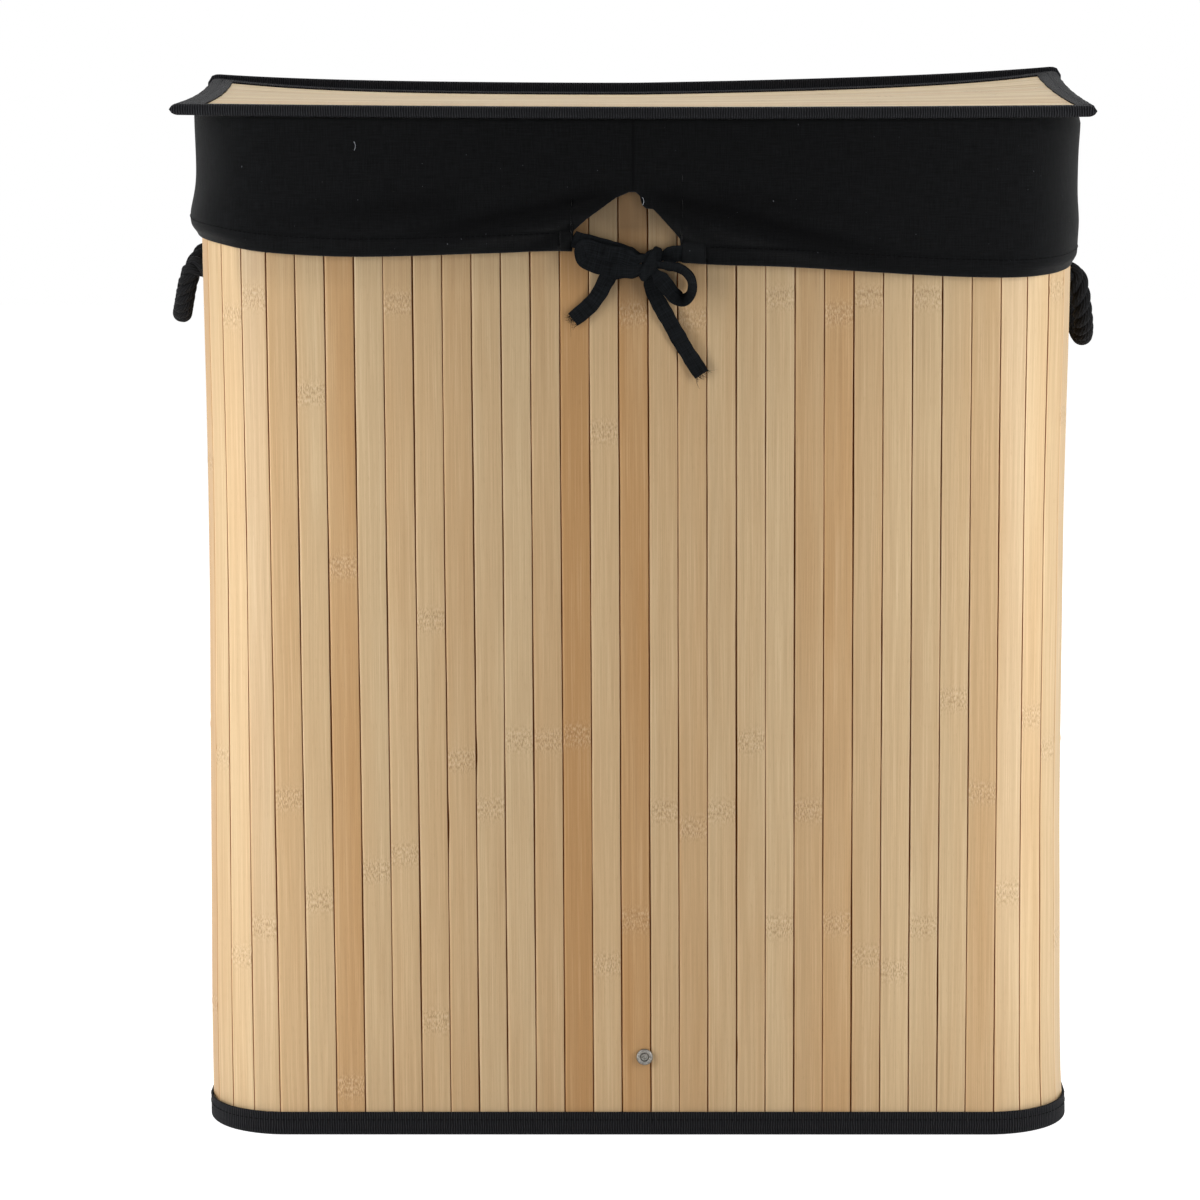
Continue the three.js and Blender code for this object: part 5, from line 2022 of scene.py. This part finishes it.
    def fray(self, side: str, path: Array, first: Array, second: Array) -> Piece:
        """The loose threads at the cut end: thin tapered tubes that leave it and curl apart.

        Args:
            side: the piece's side, for its name.
            path: the tape's middle.
            first: the direction square to the tape's face at each point.
            second: the direction across the tape at each point.

        Returns:
            The threads.
        """
        rng = np.random.default_rng(SEED + len(side))
        count, off, across = 26, first[-1], second[-1]
        ahead = unit(path[-1] - path[-4])
        place = rng.uniform(-1, 1, count)[:, None] * across * self.width * 0.47
        place = path[-1] + place - ahead * 0.6 * MM + rng.normal(0, 0.15 * MM, count)[:, None] * off
        aim = rng.normal(0, 0.38, count)[:, None] * across
        aim = unit(ahead + aim + rng.uniform(0, 0.16, count)[:, None] * off)
        bend = rng.normal(0, 1.0, count)[:, None] * across
        bend = bend + rng.uniform(-0.1, 0.3, count)[:, None] * off
        length = rng.uniform(1.6, 4.6, count)
        length[0] = self.longest
        length = length[:, None, None] * MM
        t = np.linspace(0, 1, 7)[None, :, None]
        line = place[:, None] + aim[:, None] * length * t + bend[:, None] * length * 0.45 * t * t
        section = ring(4, 0.16 * MM)
        tube = section[:, :1] * off + section[:, 1:] * across
        shell = Shell(f"{side}_tail_fray")
        shell.grid(line[:, :, None] + tube * (1.05 - 0.8 * t[..., None]), caps=True)
        return shell.build(Body.HAMPER, Slot.STRING, STRING)

    def tie(self) -> None:
        """The knot: a rounded form with two folds drawn in round it and a band that crosses it.

        It is an ellipsoid squared off by powers, whose radius rises over a slanting band and
        wrinkles by sines, so that it looks wound of tape.
        """
        up = np.linspace(0.02, math.pi - 0.02, 40)[:, None]
        turn = np.linspace(0, 2 * math.pi, 56, endpoint=False)[None]
        form = join(np.sin(up) * np.cos(turn), np.sin(up) * np.sin(turn), np.cos(up))
        x, y, z = np.moveaxis(form, -1, 0)
        square = (np.abs(x) ** 2.6 + np.abs(z) ** 2.6 + np.abs(y) ** 2.2) ** (-1 / 2.6)
        slant = x * 0.9 - z * 0.5
        band = smooth(slant, -0.62, -0.5) - smooth(slant, 0.42, 0.56)
        wrinkle = 0.03 * np.sin(7 * x + 3 * z) + 0.03 * np.sin(11 * slant)
        size = square * (0.84 + 0.15 * band + wrinkle * np.sin(up))
        form = form * size[..., None] * (self.high - self.low) / 2 * np.array([0.86, 0.98, 1.28])
        form[..., 0] += 0.26 * form[..., 2]
        shell = Shell("knot_of_tape")
        shell.grid(self.knot + form + np.array([0.2, 0.0, -1.4]) * MM, caps=True)
        shell.build(Body.HAMPER, Slot.STRING, STRING, ("bow_knot",), sharp=70)

    def build(self) -> None:
        """Makes the knot and the two halves of the bow."""
        self.tie()
        for side, route in (("left", self.left), ("right", self.right)):
            self.ribbon(side, route, (f"{side}_tie_strand", f"{side}_bow_loop", f"{side}_tie_tail"))


# Rope handles


@dataclass
class RopeHandle:
    """A loop of three-strand rope between two holes, with an eyelet and a stopper knot at each hole.

    Attributes:
        hand: which side of the hamper it is on.
        route: the rope's way from the back hole to the front one, as (distance back from the middle,
            distance out from the slats' face, height above the holes), in millimetres.
        radius: the rope's radius.
        hole: from the middle to each hole.
        height: the holes' height.
        lay: the length in which a strand goes once round.
        strand: a strand's radius.
        reach: from the rope's middle to a strand's.
        bends: two distances from the holes down the wall's slope, whose points are not used.
    """

    hand: Hand
    route: tuple[tuple[float, float, float], ...]
    radius: float = 6.0 * MM
    hole: float = 51.3 * MM
    height: float = WALL_TOP - 96 * MM
    lay: float = 28.0 * MM
    strand: float = 2.95 * MM
    reach: float = 3.15 * MM
    bends: tuple[float, float] = (5.0 * MM, 12.5 * MM)

    def __post_init__(self) -> None:
        """Names the handle."""
        self.name = self.hand.name.lower()

    def path(self) -> Array:
        """The rope's middle: a smooth curve through the route, whose ends settle with the wall.

        Returns:
            Its points, in even steps.
        """
        along, out, up = np.array(self.route).T * MM
        points = np.stack([(HALF_WIDTH + out) * self.hand.value, along, self.height + up], 1)
        points[[0, 1, -2, -1]] = SETTLING.apply(points[[0, 1, -2, -1]])
        return even_path(points, 0.9 * MM)

    def build(self) -> None:
        """Twists the strands along the path, and makes the eyelets and the knots."""
        path = self.path()
        first, second = frames(path, np.array([0.5 * self.hand.value, 0.35, 0.8]), carried=True)
        run = travelled(path)
        run = np.linspace(0, run[-1], len(path))
        shell = Shell(f"{self.name}_rope")
        for k in range(3):
            turn = (run / self.lay * 2 * math.pi + k * 2 * math.pi / 3)[:, None]
            centre = path + self.reach * (np.cos(turn) * first + np.sin(turn) * second)
            along = unit(np.gradient(centre, axis=0))
            side = unit(np.cross(along, unit(centre - path)))
            shell.grid(carry(centre, np.cross(side, along), side, ring(14, self.strand)), caps=True)
        body = Body.LEFT_HANDLE if self.hand is Hand.LEFT else Body.RIGHT_HANDLE
        rope = shell.build(body, Slot.ROPE, ROPE, (f"{self.name}_rope_handle",), sharp=80)
        hole = np.array([HALF_WIDTH * self.hand.value, 0.0, self.height])
        slope = np.array([self.hand.value, 0.0, -1.0]) / math.sqrt(2)
        start, end = (tuple(hole + slope * distance) for distance in self.bends)
        unhook(rope)
        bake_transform(rope)
        for end, name in ((-1, "front"), (1, "back")):
            self.eyelet(end, f"{self.name}_{name}")
            self.stopper(f"{self.name}_{name}")

    def stopper(self, name: str) -> None:
        """The stopper knot inside the wall: the rope through the hole, and a knot drawn up tight.

        The knot is the closed curve ((2 + cos 3t) cos 2t, (2 + cos 3t) sin 2t, sin 3t) of one strand.

        Args:
            name: the hole's name.
        """
        low, high = (np.array(corner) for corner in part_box(f"{name}_rope_knot"))
        centre = SETTLING.apply((low + high) / 2)
        outwards = float(self.hand.value)
        t = np.linspace(0, 2 * math.pi, 150, endpoint=False)
        flat = (2 + np.cos(3 * t)) * 2.55 * MM
        depth = -outwards * (2.4 * np.sin(3 * t) + 2.6) * MM
        curve = centre + np.stack([depth, flat * np.cos(2 * t), flat * np.sin(2 * t)], 1)
        tangent = unit(np.roll(curve, -1, 0) - np.roll(curve, 1, 0))
        first = unit(np.cross(tangent, [1.0, 0.0, 0.0]))
        twist = np.cos(np.arange(14) * 6 * math.pi / 14 + 30 * t[:, None])[..., None]
        section = ring(14, 4.4 * MM) * (1 + 0.07 * twist)
        shell = Shell(f"{name}_stopper")
        shell.grid(carry(curve, first, np.cross(tangent, first), section), wrap=(True, True))
        inner, outer = -6.0 * MM, 6.2 * MM
        stub = np.array([[0.0, outer], [self.radius, outer], [self.radius, inner], [0.0, inner]])
        revolve(shell, stub, centre, np.array([outwards, 0.0, 0.0]), 24)
        shell.build(Body.HAMPER, Slot.ROPE, ROPE, (f"{name}_rope_knot",), closed=False)

    def eyelet(self, end: int, name: str) -> None:
        """A turned ring: a rolled flange outside, the barrel through the wall and a flange inside.

        Args:
            end: -1 for the front hole, and 1 for the back one.
            name: the hole's name.
        """
        bore, barrel, flange = 6.5 * MM, 8.0 * MM, 11.0 * MM
        face, back = SEAM, -WALL_THICK - SEAM
        roll = np.linspace(0, math.pi, 9)
        across = (flange + bore) / 2 + (flange - bore) / 2 * np.cos(roll)
        lip = np.stack([across, face + 1.0 * MM * np.sin(roll)], 1)
        inside = np.array([[bore, back - 0.8 * MM], [flange - 0.4 * MM, back - 1.0 * MM],
                           [flange, back - 0.5 * MM], [flange, back], [barrel, back], [barrel, face]])
        outwards = float(self.hand.value)
        centre = SETTLING.apply(np.array([HALF_WIDTH * outwards, end * self.hole, self.height]))
        shell = Shell(f"{name}_ring")
        revolve(shell, np.concatenate([lip, inside]), centre, np.array([outwards, 0.0, 0.0]), 48)
        shell.build(Body.HAMPER, Slot.STEEL, NICKEL, (f"{name}_eyelet",), sharp=35)


LEVEL_HALF = (
    (51.3, 0.4, 0), (51.3, 3.6, 0.2), (51.2, 7.3, -1.4), (49.9, 9.8, -9.1), (46.6, 11.4, -17.2),
    (41.5, 12.8, -24.8), (34.7, 14.1, -31.3), (26.3, 15.1, -36.9), (16.6, 15.8, -40.7), (5.7, 16.3, -42.9),
)
ROPE_ROUTES = {
    Hand.LEFT: (
        (51.3, 0.4, 0), (51.3, 3.6, 1.6), (50.6, 9.0, 5.4), (48.8, 14.4, 7.0), (45.7, 17.8, 2.3),
        (41.5, 20.9, -3.4), (36.3, 22.7, -9.4), (30.2, 23.5, -15.0), (23.3, 23.7, -20.0),
        (15.9, 23.6, -23.8), (8.0, 23.2, -26.2), (0.0, 22.5, -27.0), (-8.0, 21.5, -26.2),
        (-15.9, 20.2, -23.8), (-23.3, 18.7, -20.0), (-30.2, 17.0, -15.0), (-36.3, 15.3, -9.4),
        (-41.5, 13.2, -3.4), (-45.7, 10.8, 2.3), (-48.8, 8.0, 5.4), (-51.0, 4.2, 3.4), (-51.3, 0.4, 0),
    ),
    Hand.RIGHT: (*LEVEL_HALF, *((-along, out, up) for along, out, up in LEVEL_HALF[::-1])),
}


# Rivets


@dataclass
class Rivet:
    """A tubular rivet with a rolled and dished head.

    Attributes:
        node: the frame's node.
        out: -1 for the front wall, and 1 for the back.
        head: the head's radius.
        roll: the radius of its rolled rim.
    """

    node: str
    out: int
    head: float = 5.0 * MM
    roll: float = 1.25 * MM

    def build(self) -> None:
        """Turns the rivet: a dish in a rolled rim, a shank, and the clenched end inside."""
        low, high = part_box(self.node)
        centre = np.array([(low.x + high.x) / 2, self.out * HALF_DEPTH, (low.z + high.z) / 2])
        arc = np.linspace(math.pi, 0, 11)
        across = self.head - self.roll + self.roll * np.cos(arc)
        rim = np.stack([across, SEAM + 0.55 * MM + 1.3 * MM * np.sin(arc)], 1)
        dish = np.array([[0, 0.15], [1.1, 0.2], [1.35, 0.75], [2.0, 0.9]]) * MM + [0, SEAM]
        shank = [4.9, 0.3], [2.4, 0.3], [2.4, -5.6]
        under = np.array([*shank, [4.2, -5.6], [4.2, -6.3], [3.6, -6.8], [0, -6.8]])
        shell = Shell(f"{self.node}_metal")
        profile = np.concatenate([dish, rim, under * MM])
        revolve(shell, profile, centre, np.array([0.0, float(self.out), 0.0]), 56)
        shell.build(Body.HAMPER, Slot.STEEL, NICKEL, (self.node,), sharp=35)


# The lid


@dataclass
class Lid:
    """A panel of slats from left to right, bound with folded tape, which has warped in use.

    Attributes:
        slats: how many slats the panel has.
        columns: steps along a slat.
        gap: between two slats.
        thick: a slat's thickness.
        tape: the tape's width on the top.
        tape_thick: its thickness.
        side_widths: how wide it is on the left and on the right, at the front and at the back.
        lift: how far the back corners have curled up.
        flare_left: how far the left back corner has spread out.
        flare_right: the same for the right one.
    """

    slats: int = 19
    columns: int = 120
    gap: float = 0.8 * MM
    thick: float = 2.6 * MM
    tape: float = 13 * MM
    tape_thick: float = 1.1 * MM
    side_widths: tuple[tuple[float, float], tuple[float, float]] = ((1.35, 1.0), (0.75, 1.0))
    lift: float = 7 * MM
    flare_left: float = 12.0 * MM
    flare_right: float = 6.5 * MM

    def __post_init__(self) -> None:
        """Takes the lid's limits from the frame."""
        low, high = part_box("lid_slat_panel")
        self.panel = np.array([low, high])
        low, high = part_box("lid_front_binding")
        self.half, self.front = high.x, low.y
        self.bottom, self.top = low.z, high.z
        self.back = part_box("lid_back_binding")[1].y

    def warp(self, points: Array, lift: float | None = None) -> Array:
        """Spreads and lifts the back corners, and lets the panel sag with the rim.

        The spread grows by the 1.4th power of the way back and the square of the way out to the
        side, and the lift by the third and the fifth power.

        Args:
            points: the places to move.
            lift: how far the corners are lifted, if not as far as the lid's own.

        Returns:
            The moved places.
        """
        x, y = points[..., 0], points[..., 1]
        way = np.clip((y - self.front) / (self.back - self.front), 0, 1.05)
        side = np.clip(np.abs(x) / self.half, 0, 1.1)
        flare = np.where(x < 0, self.flare_left, self.flare_right)
        lift = self.lift if lift is None else lift
        moved = points.copy()
        moved[..., 0] += np.sign(x) * flare * way**1.4 * side**2
        moved[..., 2] += lift * way**3 * np.minimum(side, 1) ** 5 + SETTLING.rim(x, y)
        return moved

    def panel_slats(self) -> None:
        """The slats: a section with round edges carried from left to right."""
        low, high = self.panel
        pitch = (high[1] - low[1]) / self.slats
        rng = np.random.default_rng(SEED + 3)
        numbers = np.arange(self.slats)[:, None, None]
        bevel = 0.5 * MM
        edge, depth = rounded_edge(bevel, self.thick)
        t = np.concatenate([self.gap / 2 + edge, [pitch / 2], pitch - self.gap / 2 - edge[::-1]])
        d = np.concatenate([depth, [-0.1 * MM], depth[::-1]])
        x = np.linspace(low[0], high[0], self.columns)[None, :, None]
        sink = rng.uniform(0, 0.15 * MM, self.slats)[:, None, None]
        grid = join(x, low[1] + numbers * pitch + t, high[2] - d - sink)
        joints = rng.uniform(low[0], high[0], (self.slats, 2))
        mark = bump(x - joints[:, None], 0, 7 * MM).sum(2)
        u = np.concatenate([t, [pitch + self.thick]]) + numbers * 3 * pitch + 9.0
        marks = {"tone": np.clip(rng.normal(0.12, 0.12, self.slats), 0, 1)[:, None, None],
                 "shade": rng.normal(1.0, 0.02, self.slats)[:, None, None],
                 "joint": mark[:, :, None] * (d < bevel / 4)}
        slats = Shell("lid_slats")
        slats.grid(self.warp(grid), caps=True, uv=join(u, x), marks=marks)
        slats.build(Body.LID, Slot.BAMBOO, PALE_BAMBOO, ("lid_slat_panel",), sharp=50)

    def lining(self) -> None:
        """The cloth below the slats: a thin rectangle in section, carried from left to right."""
        low, high = self.panel
        x = np.linspace(low[0], high[0], self.columns)
        floor, roof = low[2], low[2] + 0.9 * MM
        at, corners = np.linspace(0, 4, 60, endpoint=False), np.arange(5)
        y = np.interp(at, corners, [low[1], high[1], high[1], low[1], low[1]])
        z = np.interp(at, corners, [floor, floor, roof, roof, floor])
        cloth = Shell("lid_lining")
        cloth.grid(self.warp(join(x[:, None], y[None], z[None])), caps=True)
        cloth.build(Body.LID, Slot.COTTON, COTTON, ("lid_slat_panel",))

    def section(self) -> Array:
        """The middle of the tape's section, as (in from the edge, height): a fold round the edge.

        On the top it has a crease halfway, where the tape's two turns lie side by side.

        Returns:
            The section's points, from the top's inner end to the bottom's.
        """
        half = self.tape_thick / 2
        top, bottom = self.top - half, self.bottom + half
        radius = (top - bottom) / 2
        arc = np.linspace(math.pi / 2, -math.pi / 2, 9)
        across = half + radius * (1 - np.cos(arc)) * 0.8
        nose = np.stack([across, (top + bottom) / 2 + radius * np.sin(arc)], 1)
        shares = np.array([1.0, 0.86, 0.7, 0.58, 0.53, 0.48, 0.36])
        dip = np.array([0.5, 0.0, -0.15, 0.1, 0.5, 0.05, -0.2]) * MM
        upper = np.stack([shares * self.tape, top - dip], 1)
        lower = np.stack([shares[[-1, 2, 0]] * self.tape, np.full(3, bottom)], 1)
        return np.concatenate([upper, nose, lower])

    def binding(
        self,
        name: str,
        ends: tuple[tuple[float, float], tuple[float, float]],
        inwards: tuple[float, float],
        widths: tuple[float, float] = (1.0, 1.0),
        nose: bool = False,
    ) -> None:
        """A length of tape along one edge.

        Args:
            name: the edge's name.
            ends: the (x, y) of the edge's two ends.
            inwards: the direction from the edge to the panel.
            widths: how wide the tape is on the top at its two ends, against its full width.
            nose: whether its ends are folded in to a rounded ear.
        """
        start, end = (np.array([*point, 0.0]) for point in ends)
        length = float(np.linalg.norm(end - start))
        share = np.linspace(0, 1, round(length / (2.2 * MM)))
        swell = np.ones(len(share))
        if nose:
            share = np.sort(np.concatenate([share, [0.002, 0.004, 0.006, 0.994, 0.996, 0.998]]))
            from_end = np.minimum(share, 1 - share) * length
            swell = np.sqrt(np.clip(1 - (1 - np.clip(from_end / (5 * MM), 0, 1)) ** 2, 0.02, 1))
        edge = start + (end - start) * share[:, None]
        loop = strip_loop(self.section(), self.tape_thick)
        middle = (self.top + self.bottom) / 2
        wave = 0.12 * MM * np.sin(share * 37) + 0.1 * MM * np.sin(share * 91)
        wide = (widths[0] + (widths[1] - widths[0]) * share)[:, None]
        into = loop[None, :, 0] * wide + (0.8 * MM * (1 - swell) + wave)[:, None]
        points = edge[:, None] + into[..., None] * np.array([*inwards, 0.0])
        points[..., 2] = middle + (loop[None, :, 1] - middle) * swell[:, None]
        shell = Shell(f"lid_{name}_tape")
        shell.grid(self.warp(points), caps=True)
        shell.build(Body.LID, Slot.TAPE, TAPE, (f"lid_{name}_binding",), sharp=55)

    def build(self) -> None:
        """Makes the panel and its four lengths of tape."""
        self.panel_slats()
        self.lining()
        half, front, back = self.half, self.front, self.back
        inner = self.tape - 1.5 * MM
        for name, y, inwards in (("front", front, 1.0), ("back", back, -1.0)):
            self.binding(name, ((-half, y), (half, y)), (0.0, inwards), nose=True)
        for hand, widths in zip(Hand, self.side_widths):
            x = hand.value * half
            ends = (x, front + inner), (x, back - inner)
            self.binding(hand.name.lower(), ends, (-hand.value, 0.0), widths)


@dataclass
class ClothHinge:
    """The tape that joins the lid to the cuff's back: a sewn strip, and a fold that stands up.

    Attributes:
        thick: the tape's thickness.
        half: half of the fold's width.
        ends: the radius of the fold's round ends.
        lift: how far its ends curl up.
        seams: how far up the strip its rows of stitches lie.
    """

    thick: float = 1.2 * MM
    half: float = 269.5 * MM
    ends: float = 7 * MM
    lift: float = 3 * MM
    seams: tuple[float, float] = (3 * MM, 17 * MM)

    def strip(self) -> None:
        """The strip that is sewn to the cuff and rises to the fold."""
        low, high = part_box("body_hinge_leaf")
        sewn, outer = low.y + self.thick / 2, high.y - self.thick / 2
        y = np.array([sewn, sewn, sewn + 0.1 * MM, sewn + 1.2 * MM, outer - 0.9 * MM, outer, outer])
        line = np.stack([y, low.z + np.array([0, 11, 21, 27, 32, 37, 41]) * MM], 1)
        loop = strip_loop(line, self.thick)
        x = np.linspace(low.x, high.x, 190)[:, None]
        wave = 0.15 * MM * np.sin(x / (21 * MM))
        shell = Shell("hinge_strip")
        shell.grid(SETTLING.apply(join(x, loop[None, :, 0] + wave, loop[None, :, 1])), caps=True)
        shell.build(Body.HAMPER, Slot.TAPE, TAPE, ("body_hinge_leaf",), sharp=60)
        stitches = Shell("hinge_stitches")
        for rise in self.seams:
            row = join(x, sewn + self.thick / 2 + 0.02 * MM + wave, np.full_like(x, low.z + rise))[:, 0]
            behind = np.tile([0.0, 1.0, 0.0], (len(x), 1))
            stitch_row(stitches, SETTLING.apply(row), behind, 3.2 * MM, 0.5 * MM)
        stitches.build(Body.HAMPER, Slot.TAPE, THREAD)

    def fold(self, lid: Lid) -> None:
        """The fold that stands up behind the lid: up, over the top and down, with round ends.

        Its ends curl up and spread with the lid's back corners.

        Args:
            lid: the lid that it is sewn to.
        """
        low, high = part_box("lid_hinge_leaf")
        front = low.y + self.thick / 2
        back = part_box("body_hinge_leaf")[1].y - self.thick / 2
        radius = (back - front) / 2
        arc = np.linspace(0, math.pi, 9)
        top = high.z - self.thick / 2 - radius
        turn = np.stack([(front + back) / 2 + radius * np.cos(arc), top + radius * np.sin(arc)], 1)
        risen = [[back, top - 8 * MM], [back, top - 4 * MM]]
        line = np.concatenate([risen, turn, [[front, top - 5 * MM], [front, low.z]]])
        loop = strip_loop(line, self.thick)
        x = np.linspace(-1, 1, 220)[:, None] * self.half
        short = np.clip(self.ends - (self.half - np.abs(x)), 0, self.ends)
        drop = self.ends - np.sqrt(np.clip(self.ends**2 - short**2, 0, None))
        z = loop[None, :, 1] - drop * smooth(loop[:, 1], low.z, high.z)[None] * 0.8
        y = loop[None, :, 0] + 0.1 * MM * np.sin(x / (17 * MM))
        shell = Shell("hinge_fold")
        shell.grid(lid.warp(join(x, y, z), self.lift), caps=True)
        # the fold wears the tape's lighter copy, with its painted light
        piece = shell.build(Body.LID, Slot.TAPE, PAINTED_LIGHT_TAPE, ("lid_hinge_leaf",), sharp=60)
        unhook(piece)
        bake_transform(piece)

    def build(self, lid: Lid) -> None:
        """Makes the strip and the fold."""
        self.strip()
        self.fold(lid)


# What stays as the frame has it


def dress_kept_nodes() -> None:
    """Gives the frame's own pieces that stay, inside, their finishes."""
    kept = {
        "base_cloth": (COTTON, Slot.COTTON),
        "base_board": (BOARD, Slot.BOARD),
        "brace_bar": (NICKEL, Slot.STEEL),
    }
    for name, (finish, slot) in kept.items():
        node = frame["nodes"][name]
        node.data.materials.clear()
        node.data.materials.append(finish.material())
        log.info("%s keeps its shape", name)


def main() -> None:
    """Builds the stage, then the hamper, sub-assembly by sub-assembly."""
    logging.basicConfig(level=logging.INFO, format="%(name)s %(message)s")
    lid = Lid()
    handles = [RopeHandle(hand, route) for hand, route in ROPE_ROUTES.items()]
    rivets = [Rivet("front_rivet", -1), Rivet("back_rivet", 1)]
    bags = [Bag(hand) for hand in Hand]
    for part in (Camera(), Studio(), Bow(), *handles, SlatCurtain(), BottomBinding(), RimBinding(), Cuff(),
                 *bags, *rivets, lid):
        part.build()
    ClothHinge().build(lid)
    dress_kept_nodes()


if __name__ == "__main__":
    main()
